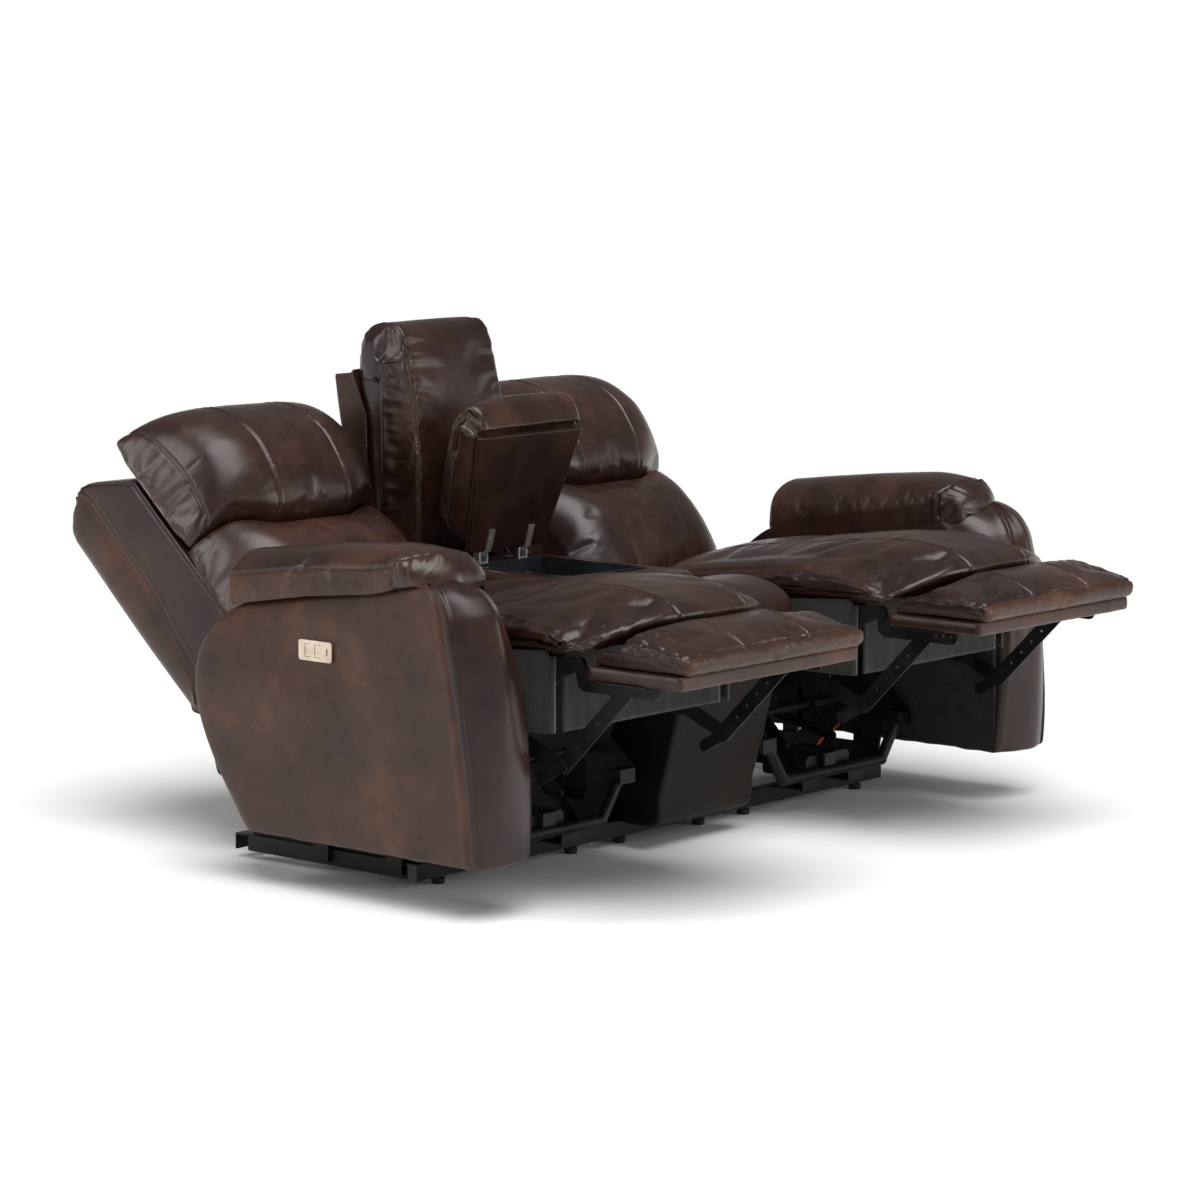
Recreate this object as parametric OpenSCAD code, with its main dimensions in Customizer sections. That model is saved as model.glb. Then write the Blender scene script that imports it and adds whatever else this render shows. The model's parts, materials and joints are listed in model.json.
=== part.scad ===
// Two-seat power reclining sofa with a storage console between the seats.
// Both seats are drawn reclined with their footrests out, and the console lid is open.
// X runs across the sofa, the front faces -Y and Z is up, in millimetres.

/* [Widths] */
// Width of each back and headrest pillow
pillow_w = 580; // [520:5:640]
// How much narrower each seat cushion is than its pillow
cushion_less = 10; // [4:1:40]
// How much narrower each footrest board is than its pillow
board_less = 26; // [20:1:60]
// Width of the console between the seats
console_w = 320; // [280:5:380]
// Gap between the console and the nearest pillow
console_gap = 31; // [24:1:50]
// Gap between a pillow and the arm beside it
arm_gap = 4; // [3:1:20]
// Thickness of each arm from its inner to its outer face
arm_w = 180; // [150:5:230]
// Distance of the two sewn lines on each cushion from its middle
seam_x = 101; // [70:1:150]

/* [Base frame] */
// Height of the steel angle rails
rail_h = 33; // [25:1:45]
// Thickness of the steel angle
rail_t = 3; // [2:0.5:5]
// Distance from the front rail to the rear rail
rail_depth = 472; // [420:1:540]
// Height of the glide feet
foot_h = 17; // [12:1:30]
// Radius of a glide foot
foot_r = 14; // [10:1:20]
// Distance of the innermost feet from the middle
foot_x = 132; // [100:1:150]

/* [Seat mechanism] */
// Thickness of the steel side plates and links
plate_t = 4; // [3:0.5:6]
// Distance of the seat side plate's outer face inside the pillow's side
seat_plate_in = 28; // [24:1:40]
// Distance that the seat moves back as the back comes upright
seat_travel = 80; // [40:5:90]
// Radius of the seat carriage pins
carriage_pin_r = 6; // [4:0.5:8]
// Radius of the link pins
link_pin_r = 5; // [3:0.5:6]
// Width of the flat links
link_w = 30; // [22:1:34]
// Radial clearance of a pin in its hole
pin_gap = 0.3; // [0.2:0.05:0.6]
// Distance forward of the footrest hinge from the front rail
hinge_front = 405; // [395:1:415]
// Height of the footrest hinge above the floor
hinge_z = 484; // [480:1:486]
// Diameter of the front cross tube
tube_d = 25; // [18:1:32]
// Height of the front cross tube above the floor
tube_z = 83; // [75:1:110]

/* [Back] */
// Lean of the reclined back from upright
back_tilt = 47.5; // [44:0.5:50]
// Height of the back pivot above the floor
back_pivot_z = 343; // [338:1:350]
// Distance of the back pivot behind the front rail
back_pivot_y = 417; // [412:1:430]
// Depth of the back shell from its front to its rear panel
shell_d = 234; // [200:2:260]
// Height of the back shell's rear panel
shell_h = 526; // [480:2:560]
// Thickness of the lumbar pillow at its crown
lumbar_d = 144; // [110:1:160]
// Height of the crease between lumbar pillow and headrest above the pivot
crease_u = 314.5; // [300:0.5:330]
// Height of the headrest above the crease
headrest_h = 340; // [300:1:360]
// Thickness of the board behind the headrest
headrest_board_t = 10; // [6:1:14]

/* [Footrest] */
// Thickness of the footrest board
board_t = 28; // [18:1:32]
// Depth of the footrest board from rear to front
board_d = 230; // [180:2:250]
// Height of the footrest pad above its board
pad_h = 78; // [60:1:84]

/* [Arms] */
// Height of the arms' lower edge above the floor
arm_z = 106; // [80:1:130]
// Height of the arm under its pad, at the sofa's front rail
arm_top_z = 609; // [590:1:640]
// Thickness of the arm pad
arm_pad_h = 80; // [60:1:100]
// Length of the switch plate
switch_l = 88; // [80:1:110]
// Height of the switch plate
switch_h = 40; // [34:1:50]
// Height of the switch plate's middle above the floor
switch_z = 487; // [440:1:500]

/* [Console] */
// Height of the console's top above the floor
console_z = 540; // [520:1:548]
// Thickness of the leather surround round the bin
surround_t = 20; // [12:1:28]
// Width of the bin's mouth
bin_w = 226; // [180:2:250]
// Length of the bin's mouth from front to rear
bin_l = 279; // [220:2:285]
// Depth of the bin
bin_d = 200; // [120:5:260]
// Wall thickness of the bin
bin_t = 3; // [2:0.5:5]
// Thickness of the lid at its hinge
lid_h = 118; // [90:1:124]
// Length of the lid from its hinge to its nose
lid_l = 338; // [300:2:345]
// Lean of the open lid forward of upright
lid_lean = 15.9; // [12:0.1:22]

/* [Middle back] */
// Height of the top of the middle pillow above the floor
middle_z = 1050; // [1000:1:1080]
// Thickness of the middle back's shell
middle_shell_d = 57; // [45:1:70]
// Lean of the middle back from upright
middle_lean = 9.9; // [8:0.1:12]

/* [Hidden] */
$fn = 48;

leather = [0.20, 0.10, 0.075];
leather_side = [0.27, 0.15, 0.10];
steel = [0.06, 0.06, 0.065];
felt = [0.15, 0.15, 0.13];

// Clearance between soft pieces that belong to different moving bodies
soft_gap = 0.6;
// Clearance between a piece and what it drops into
drop_gap = 0.4;

// Places across the sofa
cushion_w = pillow_w - cushion_less;
board_w = pillow_w - board_less;
seat_plate_x = pillow_w / 2 - seat_plate_in;
seat_x = console_w / 2 + console_gap + pillow_w / 2;
arm_in = seat_x + pillow_w / 2 + arm_gap;
arm_out = arm_in + arm_w;
rail_end = arm_in - 8;
base_plate_x = seat_plate_x + 10;
inner_plate_x = seat_plate_x - plate_t - 4;
front_link_x = inner_plate_x - plate_t - 3;
skirt_x = base_plate_x + 7;
side_rail_x = base_plate_x + 11;
skirt_t = 3;

// Levels and pivots, as [y, z] behind the front rail and above the floor
rail_z = foot_h + rail_h;
hinge = [-hinge_front, hinge_z];
link_reach = [-105, -44];
link_offset = [154, -158];
bracket_pin = hinge + link_reach;
link_pin = hinge + link_offset;
elbow = bracket_pin + link_offset;
back_pivot = [back_pivot_y, back_pivot_z];
carriage_y = [-40, 250];
carriage_z = 340;
board_z = hinge_z - 24;
board_rear = hinge[0] - 33;
board_front = board_rear - board_d;

// Depths of the back shell's front and rear and height of its lower edge, in the back's frame
shell_front = -45;
shell_rear = shell_d + shell_front;
shell_low = 102;

// Height of the footrest pad's underside, reach of its rounded ends, half width of a sewn line's dip
pad_z = board_z + board_t + 0.2;
pad_end = 34;
seam_step = 14;

// Smooth closed curve through the points p, counter-clockwise, with n steps from each point to the next
function smooth(p, n) = let (c = curve(p, n)) turn(c) > 0 ? c : [for (i = [len(c) - 1:-1:0]) c[i]];
function turn(p) = sum([for (i = [0:len(p) - 1]) let (q = p[(i + 1) % len(p)])
    p[i][0] * q[1] - p[i][1] * q[0]]);
function curve(p, n) = let (k = len(p)) [
    for (i = [0:k - 1]) let (a = p[(i + k - 1) % k], b = p[i], c = p[(i + 1) % k], d = p[(i + 2) % k])
        for (j = [0:n - 1]) let (t = j / n)
            0.5 * (2 * b + (c - a) * t + (2 * a - 5 * b + 4 * c - d) * t * t
                + (3 * b - a - 3 * c + d) * t * t * t)];

// The outline p drawn in by d on each of its four sides
function drawn(p, d) = let (a = [for (q = p) q[0]], b = [for (q = p) q[1]],
        low = [min(a), min(b)], high = [max(a), max(b)], c = (low + high) / 2,
        k = [for (i = [0, 1]) 1 - 2 * d / (high[i] - low[i])])
    [for (q = p) [c[0] + (q[0] - c[0]) * k[0], c[1] + (q[1] - c[1]) * k[1]]];

// How far the outline is drawn in at x, for an end of radius r at half width h
function end_draw(x, h, r) = let (d = max(0, abs(x) - (h - r)) / r) r * (1 - sqrt(max(0, 1 - d * d)));

// Depth of a sewn line at x
function seam_dip(x, at, depth) = depth * exp(-pow((abs(x) - at) / 9, 2));

// Stations across a cushion of half width h, closer at its ends and its sewn lines
function stations(h, r, at) = let (
        inner = at > 0 ? [at - seam_step, at, at + seam_step, (at + seam_step + h - r) / 2] : [h * 0.45],
        half = concat([0], inner, [h - r, h - r * 0.5, h - r * 0.15, h]))
    concat([for (i = [len(half) - 1:-1:1]) -half[i]], half);

// Closed solid through equal rings of points
module skin(rings) {
    n = len(rings[0]);
    m = len(rings);
    points = concat([for (r = rings) each r], [mean(rings[0]), mean(rings[m - 1])]);
    polyhedron(points, concat(
        [for (i = [0:m - 2]) for (j = [0:n - 1]) each let (k = (j + 1) % n, a = i * n, b = a + n)
            [[a + j, b + j, b + k], [a + j, b + k, a + k]]],
        [for (j = [0:n - 1]) [m * n, j, (j + 1) % n]],
        [for (j = [0:n - 1]) [m * n + 1, (m - 1) * n + (j + 1) % n, (m - 1) * n + j]]
    ));
}

function mean(p) = [for (a = [0:2]) sum([for (q = p) q[a]]) / len(p)];
function sum(v) = [for (q = v) 1] * v;

// An outline in [y, z] made solid across X, from x1 to x2
module slab(x1, x2) {
    translate([x1, 0, 0]) rotate([90, 0, 90]) linear_extrude(x2 - x1) children();
}

// A pin along X
module pin(at, r, x1, x2) {
    translate([x1, at[0], at[1]]) rotate([0, 90, 0]) cylinder(r = r, h = x2 - x1);
}

// A bar outline from point a to point b with round ends
module bar(a, b, w) {
    translate(a) circle(d = w);
    translate(b) circle(d = w);
    translate(a) rotate(atan2(b[1] - a[1], b[0] - a[0])) translate([0, -w / 2]) square([norm(b - a), w]);
}

// A bar outline from point a to point b with cut corners
module strap(a, b, w) {
    l = norm(b - a);
    translate(a) rotate(atan2(b[1] - a[1], b[0] - a[0])) polygon([[-w / 2, -w / 4], [-w / 4, -w / 2],
        [l + w / 4, -w / 2], [l + w / 2, -w / 4], [l + w / 2, w / 4], [l + w / 4, w / 2],
        [-w / 4, w / 2], [-w / 2, w / 4]]);
}

// Whatever is drawn for the right side, on the side asked for
module on(side) {
    if (side > 0) children();
    else mirror([1, 0, 0]) children();
}

// Both mirrored copies of a piece drawn on the outer side of a seat
module both_sides() {
    children();
    mirror([1, 0, 0]) children();
}

// Places children in the seat's own frame
module seat(side) { on(side) translate([seat_x, 0, 0]) children(); }

// Places children in the reclined back's frame: Y is its depth, Z runs up the back from its pivot
module back(side) {
    seat(side) translate([0, back_pivot[0], back_pivot[1]]) rotate([-back_tilt, 0, 0]) children();
}

// Places children in the lid's frame: Y is its thickness and Z its length from the hinge
lid_hinge = [447, console_z + 22];
module lid() { translate([0, lid_hinge[0], lid_hinge[1]]) rotate([lid_lean, 0, 0]) children(); }

// Overall reach, so that the origin lies under the middle of the whole sofa
function back_to_room(p) = back_pivot[0] + p[0] * cos(back_tilt) + p[1] * sin(back_tilt);
front_reach = min([for (r = pad_rings()) for (p = r) p[1]]);
rear_reach = max([for (p = shell_outline()) back_to_room(p)]);
middle_y = (front_reach + rear_reach) / 2;
module placed() { translate([0, -middle_y, 0]) children(); }

// Base frame

module angle_rail(length) {
    translate([-length / 2, -rail_h / 2, foot_h]) cube([length, rail_t, rail_h]);
    translate([-length / 2, -rail_h / 2, rail_z - rail_t]) cube([length, rail_h, rail_t]);
}

module front_cross_rail() { color(steel) angle_rail(2 * rail_end); }

module rear_cross_rail() {
    color(steel) translate([0, rail_depth, 0]) mirror([0, 1, 0]) angle_rail(2 * rail_end);
}

module side_rails() {
    inner = rail_depth - rail_h;
    color(steel) for (side = [-1, 1]) seat(side) both_sides() {
        translate([side_rail_x - rail_t, rail_h / 2, foot_h]) cube([rail_t, inner, rail_h]);
        translate([side_rail_x - rail_h, rail_h / 2, rail_z - rail_t]) cube([rail_h, inner, rail_t]);
    }
}

// The lugs carry each arm on the side rail beside it
lug_y = [20, 220];
lug_w = 40;
lug_h = 190;
module arm_lugs() {
    color(steel) for (side = [-1, 1]) seat(side) for (y = lug_y)
        translate([side_rail_x, y, rail_z - rail_h + 8])
            cube([arm_in - seat_x - side_rail_x, lug_w, lug_h]);
}

foot_places = [foot_x, console_w / 2 + 127, rail_end - 77];
module glide_feet() {
    color([0.03, 0.03, 0.03]) for (y = [0, rail_depth]) for (x = foot_places) for (s = [-1, 1])
        translate([s * x, y, 0]) {
            cylinder(r1 = foot_r - 1.5, r2 = foot_r, h = 3);
            translate([0, 0, 3]) cylinder(r = foot_r, h = foot_h - 8);
            cylinder(r = 4, h = rail_z - rail_t);
        }
}

// Arms

arm_slope = 0.165;
arm_levels = [0, 0.04, 0.12, 0.25, 0.4, 0.55, 0.7, 0.8, 0.88, 0.94, 0.98, 1];
function arm_top(y) = arm_top_z - arm_slope * y;
function arm_rear(t) = lookup(t, [[0, 292], [0.12, 322], [0.25, 358], [0.4, 390], [0.55, 410], [0.7, 415],
    [0.8, 405], [0.88, 384], [0.94, 352], [0.98, 318], [1, 296]]);
function arm_front_out(t) = lookup(t, [[0, -318], [0.25, -320], [0.4, -306], [0.6, -278], [0.8, -246],
    [0.94, -220], [1, -196]]);
function arm_front_in(t) = lookup(t, [[0, -346], [0.12, -352], [0.6, -354], [0.9, -350], [1, -330]]);
function arm_swell(t) = lookup(t, [[0, 16], [0.04, 9], [0.12, 4], [0.25, 0], [0.88, 0], [0.94, 5],
    [1, 16]]);
function arm_section(t) = let (o = arm_out - arm_swell(t), f = arm_front_out(t), g = arm_front_in(t),
        b = arm_rear(t), w = o - arm_in)
    [for (p = [
        [arm_in, b - 8], [arm_in, b * 0.5], [arm_in, 0], [arm_in, g * 0.5], [arm_in, g + 8],
        [arm_in + 8, g], [arm_in + w * 0.3, g - 4], [arm_in + w * 0.55, g + (f - g) * 0.12],
        [arm_in + w * 0.78, g + (f - g) * 0.42], [arm_in + w * 0.93, f - 12], [o, f + 12],
        [o, f * 0.5], [o, 0], [o, b * 0.5], [o, b - 34], [o - 9, b - 12], [o - 30, b], [arm_in + 12, b]])
        [p[0], p[1], arm_z + (arm_top(p[1]) - arm_z) * t]];

module arm(side) { color(leather_side) on(side) skin([for (t = arm_levels) arm_section(t)]); }

// Outline of an arm pad in [y, height above the arm]
function arm_pad_outline() = let (h = arm_pad_h) smooth([
    [302, 0], [80, 0], [-120, 0], [-290, 2], [-318, h * 0.3], [-300, h * 0.72], [-236, h * 0.94],
    [-110, h], [60, h], [200, h * 0.9], [294, h * 0.68], [316, h * 0.3]], 2);

module arm_pad(side) {
    over = 2;
    half = arm_w / 2 + over;
    edge = 34;
    color(leather) on(side) translate([arm_in - over + half, 0, 0])
        skin([for (x = stations(half, edge, 0))
            [for (q = drawn(arm_pad_outline(), min(end_draw(x, half, edge), 24)))
                [x, q[0], arm_top(q[0]) + max(0.2, q[1])]]]);
}

switch_t = 6;
switch_y = 73;
rocker_w = 15;
rocker_h = 24;
rocker_t = 4;
rocker_y = [-6, 20];
usb_y = -32;
module on_switch(side) { on(side) translate([arm_out, switch_y, switch_z]) children(); }

module switch_plate(side) {
    color([0.66, 0.60, 0.52]) on_switch(side) difference() {
        slab(0, switch_t) union() {
            square([switch_l, switch_h - 12], center = true);
            square([switch_l - 12, switch_h], center = true);
            for (a = [-1, 1]) for (b = [-1, 1])
                translate([a * (switch_l / 2 - 6), b * (switch_h / 2 - 6)]) circle(r = 6);
        }
        for (y = rocker_y) {
            translate([-1, y - rocker_w / 2 - drop_gap, -rocker_h / 2 - 0.7])
                cube([switch_t + 2, rocker_w + 2 * drop_gap, rocker_h + 1.4]);
            translate([switch_t / 2 + 0.4, y - rocker_w / 2 - 2.2, 0]) rotate([-90, 0, 0])
                cylinder(r = 1 + pin_gap / 2, h = rocker_w + 4.4);
        }
        translate([switch_t - 2.5, usb_y - 3, -7]) cube([3, 6, 14]);
    }
}

module rocker(side, y) {
    color([0.62, 0.57, 0.50]) on_switch(side) {
        difference() {
            translate([switch_t / 2 + 0.4 - rocker_t / 2, y - rocker_w / 2, -rocker_h / 2])
                cube([rocker_t, rocker_w, rocker_h]);
            translate([switch_t / 2 + 0.4 + rocker_t / 2 + 28, y - rocker_w, 0]) rotate([-90, 0, 0])
                cylinder(r = 29, h = 2 * rocker_w, $fn = 96);
        }
        translate([switch_t / 2 + 0.4, y - rocker_w / 2 - 1.6, 0]) rotate([-90, 0, 0])
            cylinder(r = 1, h = rocker_w + 3.2);
    }
}

// Console and its lid

bin_rear = 428;
bin_front = bin_rear - bin_l;
// The hole that the bin drops into, from the height z up
module bin_hole(z, h) {
    side = bin_t + drop_gap;
    translate([-bin_w / 2 - side, bin_front - side, z]) cube([bin_w + 2 * side, bin_l + 2 * side, h]);
}

surround_z = console_z - surround_t;
middle_slope = tan(middle_lean);
function middle_front(z) = 734 - (939 - z) * middle_slope;
module console_side() {
    polygon([[-112, rail_z], [-150, rail_z + 140], [-190, 337], [-203, 392], [-196, 424], [-150, 452],
        [-40, 492], [16, surround_z], [middle_front(surround_z), surround_z],
        [middle_front(rail_z), rail_z]]);
}

module console_box() {
    color(leather) difference() {
        slab(-console_w / 2, console_w / 2) console_side();
        bin_hole(console_z - bin_d - bin_t - drop_gap, bin_d + 40);
    }
}

surround_front = 28;
surround_rear = 540;
module console_surround() {
    r = surround_t / 2;
    color(leather) difference() {
        slab(-console_w / 2, console_w / 2) union() {
            translate([surround_front + r, surround_z + r]) circle(r = r);
            translate([surround_front + r, surround_z])
                square([surround_rear - surround_front - r, surround_t]);
        }
        bin_hole(surround_z - 1, surround_t + 2);
    }
}

rim_w = 9;
rim_t = 2;
module console_bin() {
    color([0.04, 0.045, 0.05]) difference() {
        union() {
            translate([-bin_w / 2 - bin_t, bin_front - bin_t, console_z - bin_d - bin_t])
                cube([bin_w + 2 * bin_t, bin_l + 2 * bin_t, bin_d + bin_t]);
            translate([-bin_w / 2 - rim_w, bin_front - rim_w, console_z])
                cube([bin_w + 2 * rim_w, bin_l + 2 * rim_w, rim_t]);
        }
        translate([-bin_w / 2, bin_front, console_z - bin_d]) cube([bin_w, bin_l, bin_d + rim_t + 1]);
    }
}

hinge_x = 64;
leaf_w = 28;
leaf_t = 3;
knuckle_r = 9;
hinge_pin_r = 3;
module console_hinge_leaves() {
    color([0.78, 0.78, 0.80]) for (s = [-1, 1]) translate([s * hinge_x, 0, 0]) {
        translate([-leaf_w / 2, lid_hinge[0] - knuckle_r, console_z]) cube([leaf_w, 44, leaf_t]);
        for (x = [-leaf_w / 2, leaf_w / 2 - plate_t]) slab(x, x + plate_t) {
            translate(lid_hinge) circle(r = knuckle_r);
            translate([lid_hinge[0] - knuckle_r, console_z])
                square([2 * knuckle_r, lid_hinge[1] - console_z]);
        }
        pin(lid_hinge, hinge_pin_r, -leaf_w / 2, leaf_w / 2);
    }
}

lid_under = 17;
lid_rear_w = 244;
lid_front_w = 334;
lid_panel_l = 272;
lid_panel_t = 12;
module lid_trapezoid(y1, y2) {
    rotate([90, 0, 0]) translate([0, 0, -y2]) linear_extrude(y2 - y1) polygon([
        [-lid_rear_w / 2, 14], [lid_rear_w / 2, 14],
        [lid_front_w / 2, lid_panel_l], [-lid_front_w / 2, lid_panel_l]]);
}

lid_panel_y = -lid_under + 0.7;
lid_pad_y = lid_panel_y + lid_panel_t + 0.2;
module lid_panel() { color(leather) lid() lid_trapezoid(lid_panel_y, lid_panel_y + lid_panel_t); }

// Outline of the lid pad in [thickness, length], over the panel and round its nose
function lid_pad_outline() = let (a = lid_pad_y, h = lid_h - lid_under, l = lid_l, p = lid_panel_l)
    smooth([[a, 30], [a, 150], [a, p + 4], [a - 12, p + 24], [a + 12, l - 4], [h * 0.45, l],
        [h * 0.77, l - 34], [h * 0.92, l - 110], [h, 100], [h * 0.86, 46], [h * 0.4, 26]], 2);
module lid_pad() {
    half = lid_front_w / 2 + 4;
    narrow = lid_rear_w / lid_front_w;
    color(leather) lid() skin([for (x = stations(half, 30, 0))
        [for (q = drawn(lid_pad_outline(), min(end_draw(x, half, 30), 18)))
            [x * (narrow + (1 - narrow) * min(1, q[1] / lid_panel_l)),
            q[1] > lid_panel_l + 3 ? q[0] : max(q[0], lid_pad_y), q[1]]]]);
}

module lid_hinge_arms() {
    leaf_y = lid_panel_y - leaf_t;
    color([0.80, 0.80, 0.82]) lid() for (s = [-1, 1]) translate([s * hinge_x, 0, 0]) difference() {
        union() {
            rotate([0, 90, 0]) translate([0, 0, -3]) cylinder(r = knuckle_r - 1, h = 6);
            translate([-3, -lid_under, 0]) cube([6, lid_under, 13]);
            translate([-9, leaf_y, 10]) cube([18, leaf_t, 51]);
        }
        rotate([0, 90, 0]) translate([0, 0, -4]) cylinder(r = hinge_pin_r + pin_gap, h = 8);
    }
}

// Middle back

module middle_back_shell() {
    bottom = rail_z + 40;
    rear = middle_front(middle_top - 10) + middle_shell_d;
    color(leather_side) slab(-console_w / 2, console_w / 2) polygon([
        [middle_front(bottom), bottom], [middle_front(bottom) + middle_shell_d, bottom],
        [rear, middle_top - 14], [rear - 8, middle_top - 8], [middle_front(middle_top) + 6, middle_top],
        [middle_front(middle_top), middle_top - 4]]);
}

middle_top = middle_z - 111;
function middle_outline() = let (z = middle_z, b = console_z + 8, r = middle_front(middle_top)) smooth([
    [middle_front(b + 20) - 8, b + 4], [middle_front(z - 310) - 0.4, z - 310], [r - 3, middle_top - 9],
    [r - 7, z - 55], [r - 28, z - 14], [r - 74, z], [r - 120, z - 9], [r - 146, z - 64],
    [r - 172, z - 180], [r - 181, z - 340], [r - 164, b + 6]], 2);
module middle_back_pillow() {
    half = console_w / 2 - 1;
    color(leather) skin([for (x = stations(half, 40, 0))
        [for (q = drawn(middle_outline(), min(end_draw(x, half, 40), 28)))
            [x, q[1] < middle_top + 11 ? min(q[0], middle_front(q[1]) - 0.3) : q[0], q[1]]]]);
}

// Seat mechanism

module slot(a, length, r) {
    translate(a) circle(r = r);
    translate(a + [length, 0]) circle(r = r);
    translate(a - [0, r]) square([length, 2 * r]);
}

// A window in the base plate, from y1 to y2 and up to the height z
window_z = rail_z + 46;
module window(y1, y2, z) {
    polygon([[y1 + 18, window_z], [y2 - 16, window_z], [y2, window_z + 26], [y2 - 12, z - 14], [y2 - 28, z],
        [y1 + 18, z], [y1 + 4, z - 14], [y1, window_z + 26]]);
}

tube_y = -95;
module base_plate() {
    rear = rail_depth - 20;
    difference() {
        polygon([[-16, rail_z], [rear, rail_z], [rear, rail_z + 30], [400, 120], [382, 300], [376, 362],
            [366, 370], [-68, 370], [-82, 356], [-78, 318], [-40, 240], [tube_y - 12, tube_top + 12],
            [tube_y - 12, tube_top - 12], [-30, 150], [-26, 110]]);
        window(16, 150, 190);
        window(188, 346, 222);
        for (y = carriage_y) slot([y, carriage_z], seat_travel, carriage_pin_r + pin_gap);
    }
}

// The front tube turns up at both ends, to a block on the base plate's tongue
tube_turn = 55;
tube_rise = 102;
tube_top = tube_z + tube_rise * sin(tube_turn);
tube_end = base_plate_x - plate_t - 32;
tube_half = tube_end - tube_rise * cos(tube_turn);
tube_foot_x = 54;
tube_foot_w = 56;
module front_tube() {
    r = tube_d / 2;
    block = tube_d + 5;
    translate([-tube_half, tube_y, tube_z]) rotate([0, 90, 0]) cylinder(r = r, h = 2 * tube_half);
    both_sides() {
        translate([tube_half, tube_y, tube_z]) sphere(r = r + 1);
        translate([tube_end, tube_y, tube_top]) rotate([0, 270 - tube_turn, 0])
            cylinder(r = r, h = tube_rise);
        translate([tube_end - block / 2, tube_y - block / 2, tube_top - block / 2])
            cube([base_plate_x - plate_t - tube_end + block / 2, block, block]);
        translate([tube_foot_x, tube_y - plate_t / 2, rail_z])
            cube([tube_foot_w, plate_t, tube_z - rail_z - 6]);
        translate([tube_foot_x, tube_y - plate_t / 2, rail_z])
            cube([tube_foot_w, -tube_y - rail_h / 2 + 8, plate_t]);
    }
}

// A cross shaft with its crank arms, which the motor turns
shaft = [24, 206];
shaft_r = 9;
crank_pin = [-38, 142];
crank_x = [-108, 64, 168];
link_step = plate_t + 1;
module crank_shaft() {
    cross_shaft(shaft);
    for (x = crank_x) {
        slab(x, x + plate_t) bar(shaft, crank_pin, link_w);
        pin(crank_pin, link_pin_r, x - link_step, x + plate_t + link_step);
    }
    for (x = [crank_x[0] - link_step, crank_x[2] + link_step])
        slab(x, x + plate_t) bar(crank_pin, [tube_y, tube_z], link_w - 8);
    slab(crank_x[1] + link_step, crank_x[1] + link_step + plate_t) strap(crank_pin, [112, 176], link_w - 8);
}
module cross_shaft(at) { pin(at, shaft_r, -base_plate_x + plate_t, base_plate_x - plate_t); }

rear_shaft = [356, 150];
module mechanism_base(side) {
    color(steel) seat(side) {
        both_sides() slab(base_plate_x - plate_t, base_plate_x) base_plate();
        front_tube();
        crank_shaft();
        cross_shaft(rear_shaft);
    }
}

// The motor hangs from the front tube by its strap, and its rail from the rear shaft
motor_half = 66;
motor_r = 12;
motor_low = tube_z - 3;
motor_high = tube_z + 23;
motor_rear = 38;
strap_x = -34;
strap_w = 40;
rail_w = 32;
module motor(side) {
    front = tube_y + tube_d / 2 + 2;
    strap_z = tube_z + tube_d / 2;
    rear = rear_shaft[0] - shaft_r;
    color([0.05, 0.06, 0.08]) seat(side) {
        hull() for (x = [-1, 1]) for (z = [motor_low, motor_high])
            translate([x * motor_half, front, z]) rotate([-90, 0, 0])
                cylinder(r = motor_r, h = motor_rear - front, $fn = 24);
        translate([strap_x, tube_y + 4, motor_high + motor_r]) cube([strap_w, 60, 4]);
        translate([strap_x, tube_y - 4, strap_z]) cube([strap_w, 10, motor_high + motor_r + 4 - strap_z]);
        translate([-rail_w / 2, motor_rear - 8, tube_z - 6]) cube([rail_w, rear - motor_rear + 8, 26]);
        translate([-rail_w / 2, rear - 10, tube_z + 16]) cube([rail_w, 10, rear_shaft[1] - tube_z]);
    }
}

// The lead runs from the motor to the arm beside it, in [x from the seat's middle, y, z]
lead_d = 6;
lead_points = [[motor_half + motor_r, 20, 101], [90, 21, 104], [108, 26, 113], [134, 36, 119],
    [160, 46, 121], [196, 58, 124], [232, 66, 134], [262, 70, 148], [280, 72, 157], [294, 72, 160]];
function ring_at(i) = let (k = len(lead_points),
        a = lead_points[max(0, i - 1)], b = lead_points[min(k - 1, i + 1)],
        d = (i == 0 || i == k - 1) ? [1, 0, 0] : (b - a) / norm(b - a),
        side = cross(d, [0, 0, 1]), u = side / norm(side), v = cross(d, u))
    [for (j = [0:7]) lead_points[i] + lead_d / 2 * (cos(45 * j) * u + sin(45 * j) * v)];
module motor_lead(side) {
    start = lead_points[0][0];
    stretch = (arm_in - seat_x - start) / (lead_points[len(lead_points) - 1][0] - start);
    color([0.75, 0.16, 0.05]) seat(side) skin([for (i = [0:len(lead_points) - 1])
        [for (p = ring_at(i)) [start + (p[0] - start) * stretch, p[1], p[2]]]]);
}

module seat_plate() {
    difference() {
        union() {
            polygon([[-418, 478], [-392, 498], [-330, 492], [228, 446], [300, 372], [430, 362],
                [436, 330], [400, 321], [280, 314], [40, 312], [-180, 308], [-262, 306], [-276, 330],
                [-300, 400], [-372, 458]]);
            translate(hinge) circle(r = 15);
            translate(link_pin) circle(r = 20);
            translate(back_pivot) circle(r = 22);
        }
        polygon([[-250, 400], [180, 372], [200, 392], [170, 414], [-300, 460], [-310, 446]]);
    }
}

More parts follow.
